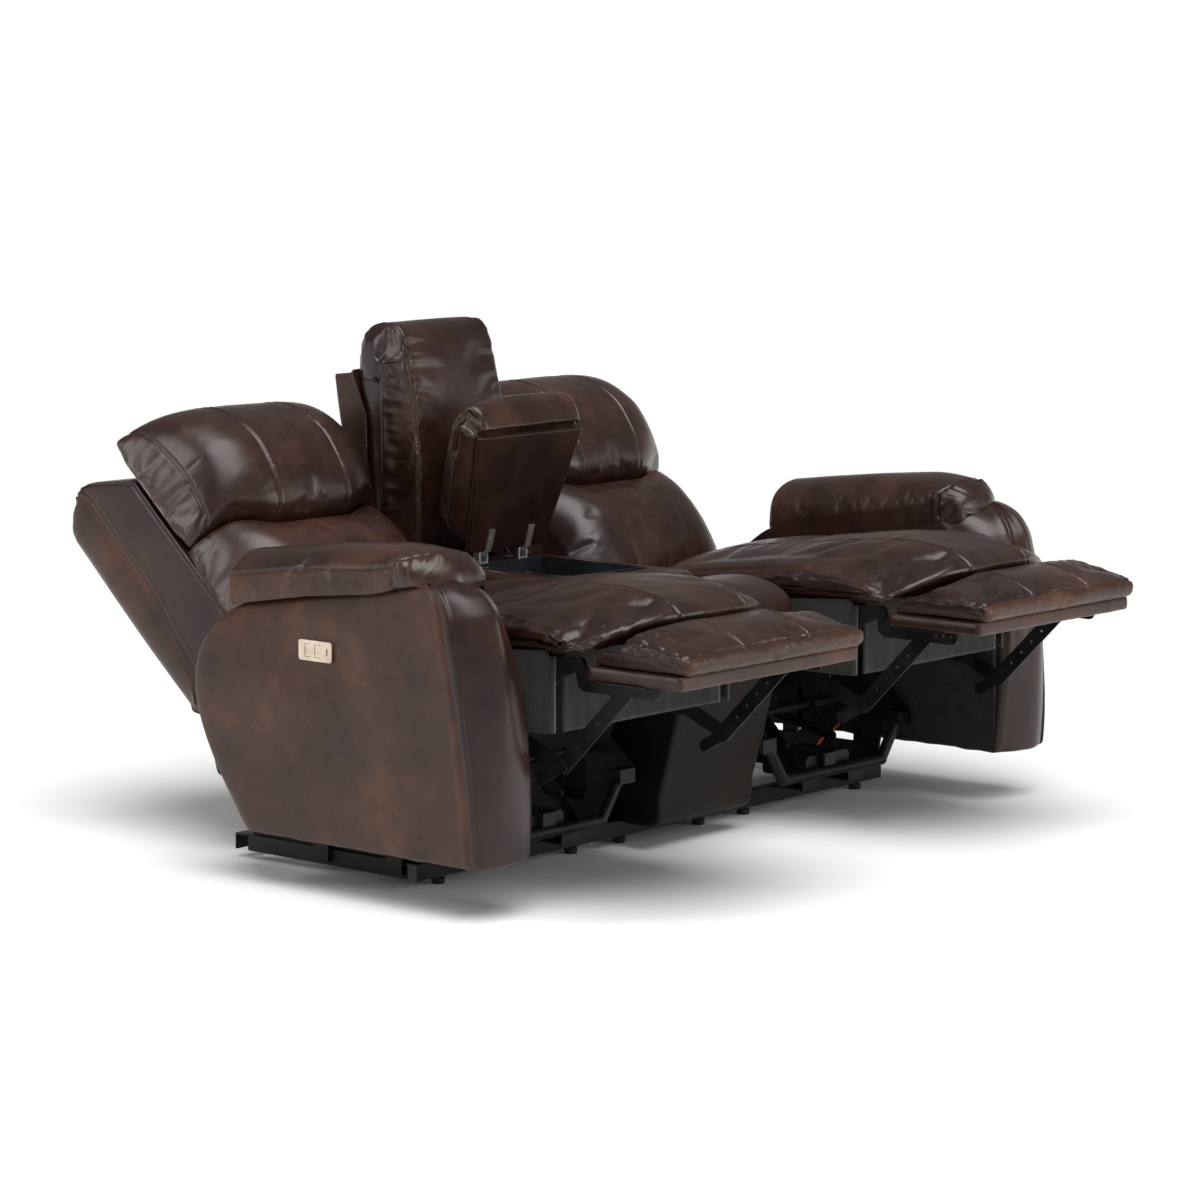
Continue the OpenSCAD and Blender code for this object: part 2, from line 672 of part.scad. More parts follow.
module seat_frame(side) {
    inner = seat_plate_x - plate_t;
    color(steel) seat(side) {
        both_sides() {
            slab(inner, seat_plate_x) seat_plate();
            pin(hinge, link_pin_r, inner_plate_x - plate_t - 2, inner);
            pin(link_pin, link_pin_r, inner_plate_x - plate_t - 2, inner);
            pin(back_pivot, link_pin_r + 1, inner_plate_x - plate_t - 2, inner);
            for (y = carriage_y) {
                pin([y, carriage_z], carriage_pin_r, seat_plate_x, base_plate_x + 1);
                pin([y, carriage_z], carriage_pin_r + 4, base_plate_x + 0.6, base_plate_x + 4);
            }
        }
        for (at = spring_tubes) pin(at, spring_tube_r, -inner, inner);
    }
}

spring_w = 3.6;
spring_pitch = 44;
spring_reach = 22;
spring_lines = [for (i = [-2:2]) i * seat_plate_x * 0.345];
module spring_outline(length) {
    turns = floor((length - 30) / spring_pitch);
    r = spring_pitch / 4;
    square([spring_w, 15], center = true);
    for (i = [0:turns - 1]) translate([0, 8 + i * spring_pitch]) {
        for (s = [0, 1]) translate([0, s * spring_pitch / 2]) mirror([s, 0]) {
            translate([-spring_reach, -spring_w / 2]) square([2 * spring_reach, spring_w]);
            translate([spring_reach, spring_pitch / 4]) difference() {
                circle(r = r + spring_w / 2, $fn = 16);
                circle(r = r - spring_w / 2, $fn = 16);
                translate([-2 * spring_pitch, -spring_pitch]) square(2 * spring_pitch);
            }
        }
    }
    translate([-spring_reach, 8 + turns * spring_pitch - spring_w / 2]) square([spring_reach, spring_w]);
    translate([-spring_w / 2, 8 + turns * spring_pitch - spring_w / 2])
        square([spring_w, length - 8 - turns * spring_pitch + 6]);
}

// The springs lie on the two cross tubes, along their upper tangent, and the cushion lies on the springs
spring_tube_r = 11;
spring_tilt = atan((seat_floor(200) - seat_floor(0)) / 200);
spring_drop = (spring_tube_r + spring_w + 0.3) / cos(spring_tilt);
spring_tubes = [for (y = [-318, 205]) [y, seat_floor(y) - spring_drop]];
module seat_springs(side) {
    run = norm(spring_tubes[1] - spring_tubes[0]);
    color([0.2, 0.2, 0.22]) seat(side) translate([0, each spring_tubes[0]]) rotate([spring_tilt, 0, 0])
        for (x = spring_lines)
            translate([x, 0, spring_tube_r]) linear_extrude(spring_w) spring_outline(run);
}

// Outline of the seat cushion in [y, height above its underside], from its rear to its rolled front
function seat_outline() = let (f = hinge[0]) smooth([
    [242, 0], [0, 0], [-300, 0], [f, 0], [f - 30, 6], [f - 80, 36], [f - 124, 66], [f - 106, 88],
    [f - 50, 106], [f + 40, 119], [-220, 119], [-60, 113], [90, 105], [190, 88], [250, 49]], 2);
module seat_cushion(side) {
    color(leather) seat(side) skin([for (x = stations(cushion_w / 2, 46, seam_x))
        [for (q = drawn(seat_outline(), seat_draw(x))) seat_point(x, q, seat_lift(x))]]);
}
function seat_draw(x) = min(end_draw(x, cushion_w / 2, 46), 30);
function seat_lift(x) = 1 - 0.10 * pow(2 * x / cushion_w, 4) - seam_dip(x, seam_x, 0.035);

// The front roll is drawn back towards the sides, and the underside stays on the frame
roll_start = -300;
function seat_point(x, q, lift) = let (
        pull = min(0, q[0] - roll_start) * 0.42 * pow(abs(2 * x / cushion_w), 3))
    [x, q[0] - pull, seat_floor(q[0]) + max(0, q[1]) * lift];
function seat_floor(y) = lookup(y, [[hinge[0], hinge_z + 17.5], [300, 443]]);

// The skirts and the front drop hang from the cushion's underside
module apron(side) {
    tuck = seat_draw(skirt_x) * seat_lift(skirt_x) - 2 * drop_gap;
    front = -352;
    rear = 240;
    low = 350;
    drop_half = front_link_x - 19;
    drop_top = seat_floor(front) - drop_gap;
    color(felt) seat(side) {
        both_sides() slab(skirt_x, skirt_x + skirt_t) polygon([[front, low],
            [front, seat_floor(front) + tuck - 3], [0, seat_floor(0) + tuck - 1.5],
            [120, seat_floor(120) + tuck - 4], [rear, seat_floor(rear) + tuck - 1],
            [rear + 10, 420], [rear, low - 5]]);
        slab(-drop_half, drop_half) polygon([[front, low], [front, drop_top],
            [front + skirt_t, drop_top - 0.2], [front + skirt_t, low]]);
    }
}

// Footrest

hole_r = 3;

// The bracket runs under the board and rises behind it to the hinge
bracket_w = 27;
bracket_front = board_front + 84;
module footrest_bracket_outline() {
    low = board_z - bracket_w;
    translate(hinge) circle(r = 14);
    translate([bracket_front, board_z - bracket_w / 2]) circle(d = bracket_w);
    polygon([[bracket_front, board_z], [board_rear + 9, board_z], [hinge[0] - 14, hinge_z],
        [hinge[0] + 14, hinge_z], [hinge[0] + 6, low + 9], [hinge[0] - 8, low], [bracket_front, low]]);
}

module footrest_brackets(side) {
    color(steel) seat(side) both_sides() {
        difference() {
            slab(inner_plate_x - plate_t, inner_plate_x) footrest_bracket_outline();
            pin(hinge, link_pin_r + pin_gap, inner_plate_x - 20, inner_plate_x + 10);
            for (i = [0:2])
                pin([bracket_front + 4 + 18 * i, board_z - 12], hole_r, inner_plate_x - 20, inner_plate_x);
        }
        translate([inner_plate_x - 1, bracket_front + 6, board_z - plate_t]) cube([22, 120, plate_t]);
        pin(bracket_pin, link_pin_r, front_link_x - plate_t - 1.5, inner_plate_x - plate_t);
    }
}

module footrest_board(side) {
    r = 8;
    color(leather_side) seat(side) slab(-board_w / 2, board_w / 2) {
        translate([board_front + r, board_z + r]) circle(r = r);
        translate([board_front + r, board_z + board_t - r]) circle(r = r);
        translate([board_front + r, board_z]) square([board_d - r, board_t]);
        translate([board_front, board_z + r]) square([r, board_t - 2 * r]);
    }
}

// Outline of the footrest pad in [y, z], flat on its board and cut back under the seat's rolled front
function pad_outline() = let (b = pad_z, f = board_front, h = pad_h) smooth([
    [f + 212, b], [f + 110, b], [f + 14, b], [f - 10, b + 4], [f - 18, b + h * 0.3],
    [f - 4, b + h * 0.56], [f + 34, b + h * 0.8], [f + 82, b + h * 0.98], [f + 114, b + h],
    [f + 136, b + h * 0.9], [f + 160, b + h * 0.58], [f + 196, b + h * 0.22]], 2);
function pad_rings() = let (h = board_w / 2 + 5) [for (x = stations(h, pad_end, seam_x))
    let (lift = 1 - 0.12 * pow(x / h, 4) - seam_dip(x, seam_x, 0.05))
    [for (q = drawn(pad_outline(), min(end_draw(x, h, pad_end), 22)))
        [x, q[0], pad_z + max(0, q[1] - pad_z) * lift]]];

module footrest_pad(side) { color(leather) seat(side) skin(pad_rings()); }

elbow_arm = [52, -30];
module rear_links(side) {
    color(steel) seat(side) both_sides() {
        difference() {
            slab(inner_plate_x - plate_t, inner_plate_x) {
                bar(link_pin, elbow, link_w);
                bar(elbow, elbow + elbow_arm, link_w - 6);
            }
            pin(link_pin, link_pin_r + pin_gap, inner_plate_x - 20, inner_plate_x + 10);
        }
        pin(elbow, link_pin_r, front_link_x - plate_t - 1.5, inner_plate_x - plate_t);
    }
}

module front_links(side) {
    along = (elbow - bracket_pin) / norm(elbow - bracket_pin);
    color(steel) seat(side) both_sides() difference() {
        slab(front_link_x - plate_t, front_link_x) bar(bracket_pin, elbow, link_w + 4);
        pin(bracket_pin, link_pin_r + pin_gap, 0, seat_plate_x);
        pin(elbow, link_pin_r + 1, 0, seat_plate_x);
        for (i = [1:4]) pin(bracket_pin + along * (24 + 36 * i), hole_r, 0, seat_plate_x);
    }
}

// Reclining back

function shell_outline() = let (f = shell_front, r = shell_rear, b = shell_low, t = b + shell_h) [
    [f, 82], [-20, 66], [40, 60], [100, 66], [r - 8, b - 6], [r, b + 8], [r, t - 16], [r - 6, t - 3],
    [r - 30, t + 6], [88, t + 24], [70, t + 20], [f + 7, t - 70], [f, t - 80]];
module back_shell(side) {
    half = pillow_w / 2 - 16;
    color(leather_side) back(side) slab(-half, half) polygon(shell_outline());
}

// Pillow outlines in the back's frame, as [depth, height]
function lumbar_outline() = let (c = crease_u - soft_gap, f = shell_front - lumbar_d,
        h = shell_front - 0.4)
    smooth([[h, c - 8], [h, 180], [h - 2, 48], [h - 34, 30], [-118, 40], [f + 26, 110],
        [f + 3, 180], [f + 1, 240], [f + 16, c - 30], [-150, c - 4], [-90, c]], 2);
module lumbar_pillow(side) {
    rear = shell_front - 0.3;
    color(leather) back(side) skin(pillow_rings(lumbar_outline(), rear, 0, crease_u - soft_gap));
}

// Sections of a pillow whose rear lies at the depth rear, and which keeps between two heights
pillow_end = 44;
function pillow_rings(p, rear, low, high) = let (h = pillow_w / 2)
    [for (x = stations(h, pillow_end, seam_x))
        let (lift = 1 - 0.10 * pow(x / h, 4) - seam_dip(x, seam_x, 0.04))
        [for (q = drawn(p, min(end_draw(x, h, pillow_end), 30)))
            [x, rear + (min(rear, q[0]) - rear) * lift, min(high, max(low, q[1]))]]];

headrest_rear = shell_front - headrest_board_t;
function headrest_outline() = let (c = crease_u, t = c + headrest_h, h = headrest_rear - 0.4)
    smooth([[h, c + 8], [h, c + 150], [h, t - 40], [h - 22, t - 6], [-118, t - 2], [-170, t - 32],
        [-214, t - 92], [-236, t - 168], [-230, c + 110], [-212, c + 54], [-180, c + 12],
        [-110, c + 1]], 2);
module headrest_pillow(side) {
    top = crease_u + 2 * headrest_h;
    color(leather) back(side)
        skin(pillow_rings(headrest_outline(), headrest_rear - 0.6, crease_u, top));
}

module headrest_board(side) {
    inset = 50;
    color([0.55, 0.42, 0.28]) back(side)
        translate([-pillow_w / 2 + inset, headrest_rear - 0.3, crease_u + 14])
            cube([pillow_w - 2 * inset, headrest_board_t, 210]);
}

module back_brackets(side) {
    color(steel) back(side) both_sides() {
        difference() {
            slab(inner_plate_x - plate_t, inner_plate_x) {
                circle(r = 20);
                polygon([[-19, -5], [19, -5], [58, 56], [-10, 56]]);
            }
            pin([0, 0], link_pin_r + 1 + pin_gap, 0, seat_plate_x);
        }
        translate([inner_plate_x - 40, -12, 55]) cube([40, 72, 4.6]);
    }
}

// The flap hangs from the slanted lower edge of the shell's rear
module back_flap(side) {
    r = shell_rear;
    half = pillow_w / 2 - 30;
    edge = [[100, 66], [r - 8, shell_low - 6]];
    color([0.03, 0.03, 0.035]) back(side) slab(-half, half) polygon([
        [r - 22, lookup(r - 22, edge) - 0.3], [r - 10, lookup(r - 10, edge) - 0.3], [r + 46, -10],
        [r + 40, -24], [r - 30, -66], [r - 34, -62], [r + 32, -22], [r + 38, -10]]);
}

placed() front_cross_rail();
placed() rear_cross_rail();
placed() side_rails();
placed() arm_lugs();
placed() glide_feet();
placed() arm(-1);  // left_arm
placed() arm_pad(-1);  // left_arm_pad
placed() switch_plate(-1);  // left_switch_plate
placed() rocker(-1, rocker_y[0]);  // left_recline_rocker
placed() rocker(-1, rocker_y[1]);  // left_headrest_rocker
placed() arm(1);  // right_arm
placed() arm_pad(1);  // right_arm_pad
placed() switch_plate(1);  // right_switch_plate
placed() rocker(1, rocker_y[0]);  // right_recline_rocker
placed() rocker(1, rocker_y[1]);  // right_headrest_rocker
placed() console_box();
placed() console_surround();
placed() console_bin();
placed() console_hinge_leaves();
placed() lid_panel();
placed() lid_pad();
placed() lid_hinge_arms();
placed() middle_back_shell();
placed() middle_back_pillow();
placed() mechanism_base(-1);  // left_mechanism_base
placed() motor(-1);  // left_motor
placed() seat_frame(-1);  // left_seat_frame
placed() seat_springs(-1);  // left_seat_springs
placed() seat_cushion(-1);  // left_seat_cushion
placed() apron(-1);  // left_apron
placed() back_brackets(-1);  // left_back_brackets
placed() back_shell(-1);  // left_back_shell
placed() lumbar_pillow(-1);  // left_lumbar_pillow
placed() back_flap(-1);  // left_back_flap
placed() headrest_pillow(-1);  // left_headrest_pillow
placed() headrest_board(-1);  // left_headrest_board
placed() footrest_board(-1);  // left_footrest_board
placed() footrest_pad(-1);  // left_footrest_pad
placed() footrest_brackets(-1);  // left_footrest_brackets
placed() rear_links(-1);  // left_rear_links
placed() front_links(-1);  // left_front_links
placed() mechanism_base(1);  // right_mechanism_base
placed() motor(1);  // right_motor
placed() motor_lead(1);  // right_motor_lead
placed() seat_frame(1);  // right_seat_frame
placed() seat_springs(1);  // right_seat_springs
placed() seat_cushion(1);  // right_seat_cushion
placed() apron(1);  // right_apron
placed() back_brackets(1);  // right_back_brackets
placed() back_shell(1);  // right_back_shell
placed() lumbar_pillow(1);  // right_lumbar_pillow
placed() back_flap(1);  // right_back_flap
placed() headrest_pillow(1);  // right_headrest_pillow
placed() headrest_board(1);  // right_headrest_board
placed() footrest_board(1);  // right_footrest_board
placed() footrest_pad(1);  // right_footrest_pad
placed() footrest_brackets(1);  // right_footrest_brackets
placed() rear_links(1);  // right_rear_links
placed() front_links(1);  // right_front_links
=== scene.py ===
"""Looks of the reclining loveseat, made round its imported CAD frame.

Lengths are in millimetres, with Y behind the front rail and Z above the floor. room() turns them into the
frame's metres. A soft form is a grid of rings. Cushions are swollen as cloth, and every form is then refined,
creased, sewn and gathered.
"""

import json
import math

import bmesh
import bpy
import numpy as np
from mathutils import Matrix, Vector


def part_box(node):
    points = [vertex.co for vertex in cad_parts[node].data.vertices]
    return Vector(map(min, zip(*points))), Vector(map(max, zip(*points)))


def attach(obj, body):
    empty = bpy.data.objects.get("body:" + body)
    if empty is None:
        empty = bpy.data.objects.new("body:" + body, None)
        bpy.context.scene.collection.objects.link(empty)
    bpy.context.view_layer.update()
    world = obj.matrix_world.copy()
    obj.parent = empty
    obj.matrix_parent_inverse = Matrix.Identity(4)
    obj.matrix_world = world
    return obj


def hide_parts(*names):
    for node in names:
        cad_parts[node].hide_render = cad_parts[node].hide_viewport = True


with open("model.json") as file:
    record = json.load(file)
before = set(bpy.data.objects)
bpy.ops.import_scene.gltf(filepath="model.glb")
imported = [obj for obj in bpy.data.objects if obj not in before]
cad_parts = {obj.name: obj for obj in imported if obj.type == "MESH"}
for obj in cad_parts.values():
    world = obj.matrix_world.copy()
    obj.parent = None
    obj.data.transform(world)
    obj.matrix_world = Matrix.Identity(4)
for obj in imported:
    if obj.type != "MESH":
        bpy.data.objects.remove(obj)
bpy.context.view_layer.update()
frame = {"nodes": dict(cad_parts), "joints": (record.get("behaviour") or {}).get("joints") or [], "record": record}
NODES = frame["nodes"]
JOINTS = {j["name"]: j for j in frame["joints"]}


def span(node):
    low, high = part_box(node)
    return np.array(low), np.array(high)


RAIL_Y = sum(p[1] for p in span("front_cross_rail")) / 2


def room(p):
    return np.asarray(p, float) / 1000 + (0.0, RAIL_Y, 0.0)


def pivot(joint):
    """A joint's place in [y, z], in millimetres behind the front rail and above the floor."""
    p = JOINTS[joint]["pos_m"]
    return np.array([(p[1] - RAIL_Y) * 1000, p[2] * 1000])


def middle(node):
    low, high = span(node)
    return (low + high) / 2 * 1000


def half_width(node):
    low, high = span(node)
    return (high[0] - low[0]) * 500


SIDES = ((1, "right_"), (-1, "left_"))
SEAT_X = middle("right_seat_cushion")[0]
# Pivots as [y, z], and how far the backs and the open lid lean in the photograph
HINGE = pivot("right_footrest_fold")
BACK = pivot("right_back_recline")
LID = pivot("lid_hinge")
TILT = math.radians(47.5)
LEAN = math.radians(15.9)

# Materials


def shader(name, base, roughness, metallic=0.0):
    m = bpy.data.materials.new(name)
    m.use_nodes = True
    tree = m.node_tree
    s = tree.nodes["Principled BSDF"]
    s.inputs["Base Color"].default_value = (*base, 1)
    s.inputs["Roughness"].default_value = roughness
    s.inputs["Metallic"].default_value = metallic
    return m, tree, s


def add(tree, kind, values=None, **props):
    n = tree.nodes.new(kind)
    for k, v in props.items():
        setattr(n, k, v)
    for k, v in (values or {}).items():
        n.inputs[k].default_value = v
    return n


def coords(tree, scale=(1, 1, 1)):
    t = add(tree, "ShaderNodeTexCoord")
    m = add(tree, "ShaderNodeMapping", {"Scale": scale})
    tree.links.new(t.outputs["Object"], m.inputs["Vector"])
    return m.outputs["Vector"]


def ramp(tree, source, stops):
    r = add(tree, "ShaderNodeValToRGB")
    while len(r.color_ramp.elements) < len(stops):
        r.color_ramp.elements.new(0.5)
    for e, (at, colour) in zip(r.color_ramp.elements, stops):
        e.position = at
        e.color = (*colour, 1) if isinstance(colour, tuple) else (colour, colour, colour, 1)
    tree.links.new(source, r.inputs["Fac"])
    return r.outputs["Color"]


def bumps(tree, s, layers):
    """Bumps one on the other, as (height output, strength, distance in metres)."""
    last = None
    for height, strength, distance in layers:
        b = add(tree, "ShaderNodeBump", {"Strength": strength, "Distance": distance})
        tree.links.new(height, b.inputs["Height"])
        if last:
            tree.links.new(last, b.inputs["Normal"])
        last = b.outputs["Normal"]
    tree.links.new(last, s.inputs["Normal"])


def mottled(tree, at, scale, detail, roughness, distortion=0.0):
    """The output of a noise texture at the given coordinates."""
    values = {"Scale": scale, "Detail": detail, "Roughness": roughness, "Distortion": distortion}
    n = add(tree, "ShaderNodeTexNoise", values)
    tree.links.new(at, n.inputs["Vector"])
    return n.outputs["Fac"]


def leather(name, dark, middle_tone, light, roughness, mottle, coat=0.10, shine=0.42):
    m, tree, s = shader(name, middle_tone, roughness)
    at = coords(tree)
    broad = mottled(tree, at, mottle, 3.0, 0.5)
    cloudy = mottled(tree, at, 22.0, 6.0, 0.62)
    crease = mottled(tree, at, 90.0, 6.0, 0.6, 0.8)
    grain = add(tree, "ShaderNodeTexVoronoi", {"Scale": 520.0})
    tree.links.new(at, grain.inputs["Vector"])
    half = add(tree, "ShaderNodeMath", {1: 0.65}, operation="MULTIPLY")
    tree.links.new(broad, half.inputs[0])
    tone = add(tree, "ShaderNodeMath", {1: 0.35}, operation="MULTIPLY_ADD")
    tree.links.new(cloudy, tone.inputs[0])
    tree.links.new(half.outputs[0], tone.inputs[2])
    colour = ramp(tree, tone.outputs[0], [(0.36, dark), (0.50, middle_tone), (0.66, light)])
    tree.links.new(colour, s.inputs["Base Color"])
    gloss = ramp(tree, cloudy, [(0.3, roughness - 0.04), (0.7, roughness + 0.06)])
    tree.links.new(gloss, s.inputs["Roughness"])
    s.inputs["Specular IOR Level"].default_value = shine
    s.inputs["Coat Weight"].default_value = coat
    s.inputs["Coat Roughness"].default_value = 0.20
    bumps(tree, s, [(crease, 0.12, 0.001), (grain.outputs["Distance"], 0.25, 0.0003)])
    return m


def metal(name, base, roughness, metallic, scale=180.0, strength=0.15):
    m, tree, s = shader(name, base, roughness, metallic)
    at = coords(tree)
    wear = mottled(tree, at, 14.0, 6.0, 0.7)
    lighter = tuple(min(1, c * 1.7 + 0.01) for c in base)
    tree.links.new(ramp(tree, wear, [(0.35, base), (0.75, lighter)]), s.inputs["Base Color"])
    gloss = ramp(tree, wear, [(0.3, roughness * 0.8), (0.8, min(1.0, roughness * 1.4))])
    tree.links.new(gloss, s.inputs["Roughness"])
    bumps(tree, s, [(mottled(tree, at, scale, 4.0, 0.6), strength, 0.0006)])
    if not metallic:
        s.inputs["Specular IOR Level"].default_value = 0.2
    return m


def woven(name, dark, light, scale, streak):
    m, tree, s = shader(name, dark, 0.95)
    fibres = mottled(tree, coords(tree), scale, 6.0, 0.75, 1.5)
    patches = mottled(tree, coords(tree, streak), 30.0, 4.0, 0.7)
    mix = add(tree, "ShaderNodeMath", operation="MULTIPLY")
    tree.links.new(fibres, mix.inputs[0])
    tree.links.new(patches, mix.inputs[1])
    tree.links.new(ramp(tree, mix.outputs[0], [(0.16, dark), (0.38, light)]), s.inputs["Base Color"])
    s.inputs["Sheen Weight"].default_value = 0.25
    bumps(tree, s, [(fibres, 0.6, 0.001)])
    return m


CUSHION = leather("cushion_leather", (0.013, 0.004, 0.003), (0.027, 0.010, 0.007), (0.054, 0.022, 0.013),
                  0.33, mottle=5.0)
SIDE = leather("side_leather", (0.028, 0.013, 0.010), (0.046, 0.020, 0.012), (0.080, 0.034, 0.017),
               0.37, mottle=7.0, coat=0.05, shine=0.26)
# Near-black leather: the console's darker leather with painted shade in it, and painted shade on each arm's inner
# corner below the seat
DARK = leather("console_and_shade_leather", (0.004, 0.003, 0.002), (0.008, 0.005, 0.004), (0.013, 0.008, 0.005),
               0.5, mottle=3.0, coat=0.0, shine=0.14)
# Painted shade: a darker copy of the cushion leather, laid on undersides, end gussets, the arms' front panels, the
# shells' band beside the pillows and the lid's underside
SHADED = leather("shaded_leather", (0.011, 0.003, 0.003), (0.022, 0.008, 0.006), (0.038, 0.014, 0.009),
               0.35, mottle=4.0, coat=0.04, shine=0.34)
THREAD, _, _ = shader("thread", (0.30, 0.24, 0.20), 0.6)
STEEL = metal("black_steel", (0.003, 0.003, 0.004), 0.40, 0.0)
SPRING = metal("spring_steel", (0.30, 0.30, 0.32), 0.35, 1.0)
RUBBER = metal("foot_rubber", (0.010, 0.010, 0.010), 0.7, 0.0)
NICKEL = metal("satin_nickel", (0.46, 0.38, 0.30), 0.32, 1.0, 400.0, 0.05)
CHROME = metal("hinge_chrome", (0.92, 0.92, 0.93), 0.34, 1.0, 300.0, 0.03)
PLASTIC = metal("motor_plastic", (0.007, 0.009, 0.013), 0.42, 0.0)
BIN = metal("bin_plastic", (0.012, 0.013, 0.015), 0.14, 0.0, 500.0, 0.02)
RED = metal("red_lead", (0.62, 0.08, 0.02), 0.45, 0.0)
FELT = woven("felt", (0.004, 0.004, 0.003), (0.013, 0.013, 0.010), 240.0, (3.0, 3.0, 0.6))
CLOTH = woven("black_cloth", (0.006, 0.006, 0.007), (0.022, 0.022, 0.024), 500.0, (1, 1, 1))
# The boards behind the headrests are plywood under black cloth, so their slot shows the cloth
BY_SLOT = {"cushion_leather": CUSHION, "side_leather": SIDE, "black_steel": STEEL, "spring_steel": SPRING,
           "foot_rubber": RUBBER, "satin_nickel": NICKEL, "bin_plastic": BIN, "hinge_chrome": CHROME,
           "motor_plastic": PLASTIC, "red_lead": RED, "felt": FELT, "black_cloth": CLOTH, "plywood": CLOTH}
for part in frame["record"]["subparts"]:
    o = NODES[part["node"]]
    o.data.materials.clear()
    o.data.materials.append(BY_SLOT[part["material_slot"]])

# Curves and grids


def between(a, b, c, d, f):
    """The smooth curve between b and c at the share f, where a comes before them and d after."""
    return 0.5 * (2 * b + (c - a) * f + (2 * a - 5 * b + 4 * c - d) * f**2 + (3 * b - a - 3 * c + d) * f**3)


def stepped(points, steps):
    """A smooth closed curve with a set number of points in each stretch."""
    p = np.array(points, float)
    out = []
    for i, n in enumerate(steps):
        corners = (p[(i + j) % len(p)] for j in (-1, 0, 1, 2))
        out.append(between(*corners, (np.arange(n) / n)[:, None]))
    return np.vstack(out)


def travelled(p):
    """How far each point of a line is from its start."""
    return np.concatenate([[0], np.cumsum(np.linalg.norm(np.diff(p, axis=0), axis=1))])


def line_at(p, s, at):
    """A line's values at some distances, where s says how far along each of its points is."""
    return np.column_stack([np.interp(at, s, p[:, k]) for k in range(p.shape[1])])


def closed(points, n):
    """A smooth closed curve through the points, as n even points, counter-clockwise."""
    q = stepped(points, [24] * len(points))
    if np.sum(q[:, 0] * np.roll(q[:, 1], -1) - q[:, 1] * np.roll(q[:, 0], -1)) < 0:
        q = q[::-1]
    loop = np.vstack([q, q[:1]])
    s = travelled(loop)
    return line_at(loop, s, np.linspace(0, s[-1], n, endpoint=False))


def near(outline, point):
    """The share of the way round an outline where it passes nearest to a point."""
    return float(np.argmin(np.linalg.norm(outline - np.array(point, float), axis=1))) / len(outline)


def noise(p, size, seed):
    """Smooth noise between -1 and 1 at the points p."""
    q = np.asarray(p, float) / size
    cell = np.floor(q).astype(np.int64)
    f = q - cell
    f = f * f * (3 - 2 * f)
    total = np.zeros(q.shape[:-1])
    for corner in np.ndindex(2, 2, 2):
        c = cell + corner
        h = (c[..., 0] * 73856093) ^ (c[..., 1] * 19349663) ^ (c[..., 2] * 83492791) ^ (seed * 2654435761)
        h = ((h ^ (h >> 13)) * 1274126177) & 0x7FFFFFFF
        value = ((h ^ (h >> 16)) & 0xFFFF) / 65535
        weight = np.ones(q.shape[:-1])
        for axis in range(3):
            weight = weight * (f[..., axis] if corner[axis] else 1 - f[..., axis])
        total += value * weight
    return total * 2 - 1


def spline_at(v, t, axis, wrap):
    """Rows (axis 0) or columns (axis 1) of a grid at the places t between them."""
    n = v.shape[axis]
    i = np.floor(t).astype(int)
    f = (t - i).reshape((-1, 1, 1) if axis == 0 else (1, -1, 1))
    corners = ((i + j) % n if wrap else np.clip(i + j, 0, n - 1) for j in (-1, 0, 1, 2))
    return between(*(np.take(v, k, axis) for k in corners), f)


def doubled(v):
    """A grid of rings with a new row between each two, and twice the columns."""
    v = spline_at(v, np.arange(len(v) * 2 - 1) / 2, 0, False)
    return spline_at(v, np.arange(v.shape[1] * 2) / 2, 1, True)


def normals(v):
    du = np.gradient(v, axis=0)
    dv = np.roll(v, -1, 1) - np.roll(v, 1, 1)
    n = np.cross(du, dv)
    n /= np.linalg.norm(n, axis=2, keepdims=True) + 1e-9
    centre = v.mean(1, keepdims=True)
    return n * np.sign(np.sum(n * (v - centre)))


def make(name, verts, faces, material, smooth=True):
    me = bpy.data.meshes.new(name)
    me.from_pydata([tuple(p) for p in verts], [], faces)
    me.validate()
    bm = bmesh.new()
    bm.from_mesh(me)
    bmesh.ops.recalc_face_normals(bm, faces=bm.faces)
    bm.to_mesh(me)
    bm.free()
    if smooth:
        me.shade_smooth()
    if material:
        me.materials.append(material)
    o = bpy.data.objects.new(name, me)
    bpy.context.scene.collection.objects.link(o)
    return o


def grid_faces(m, n):
    i, j = np.meshgrid(np.arange(m - 1), np.arange(n), indexing="ij")
    k = (j + 1) % n
    quads = np.stack([i * n + j, i * n + n + j, i * n + n + k, i * n + k], -1).reshape(-1, 4)
    return quads.tolist()


def skin(name, v, material):
    """A closed object from a grid of rings."""
    m, n = v.shape[:2]
    faces = grid_faces(m, n) + [list(range(n)), [(m - 1) * n + j for j in range(n - 1, -1, -1)]]
    return make(name, room(v.reshape(-1, 3)), faces, material)


def drawn(p, d):
    """The outline p drawn in by d on each of its four sides."""
    low, high = p.min(0), p.max(0)
    centre = (low + high) / 2
    return centre + (p - centre) * (1 - 2 * d / (high - low))


def shrunk(q, d, k):
    """A ring drawn in by d, then by the share k towards its own spine."""
    q = drawn(q, d)
    low, high = q.min(0), q.max(0)
    inset = min(high - low) / 2
    return q + (np.clip(q, low + inset, high - inset) - q) * k


CAPS = (0.12, 0.3, 0.52, 0.74, 0.93)


def stations(half, reach, seams, step, crown):
    """Places across a form as (x, share drawn in, share of the cap), with its seams among them."""
    flat = half - crown - reach
    marks = sorted({0.0, flat, *[s for s in seams if s < flat]})
    xs = [0.0]
    for a, b in zip(marks, marks[1:]):
        k = max(1, round((b - a) / step))
        xs += [a + (b - a) * (i + 1) / k for i in range(k)]
    rows = [(x, 0.0, 0.0) for x in xs]
    turns = max(3, round(reach * 1.4 / step))
    for i in range(turns):
        a = math.pi / 2 * (i + 1) / turns
        rows.append((flat + reach * math.sin(a), 1 - math.cos(a), 0.0))
    for k in CAPS:
        rows.append((half - crown + crown * math.sin(k * math.pi / 2), 1.0, k))
    return [(-x, d, k) for x, d, k in rows[:0:-1]] + rows


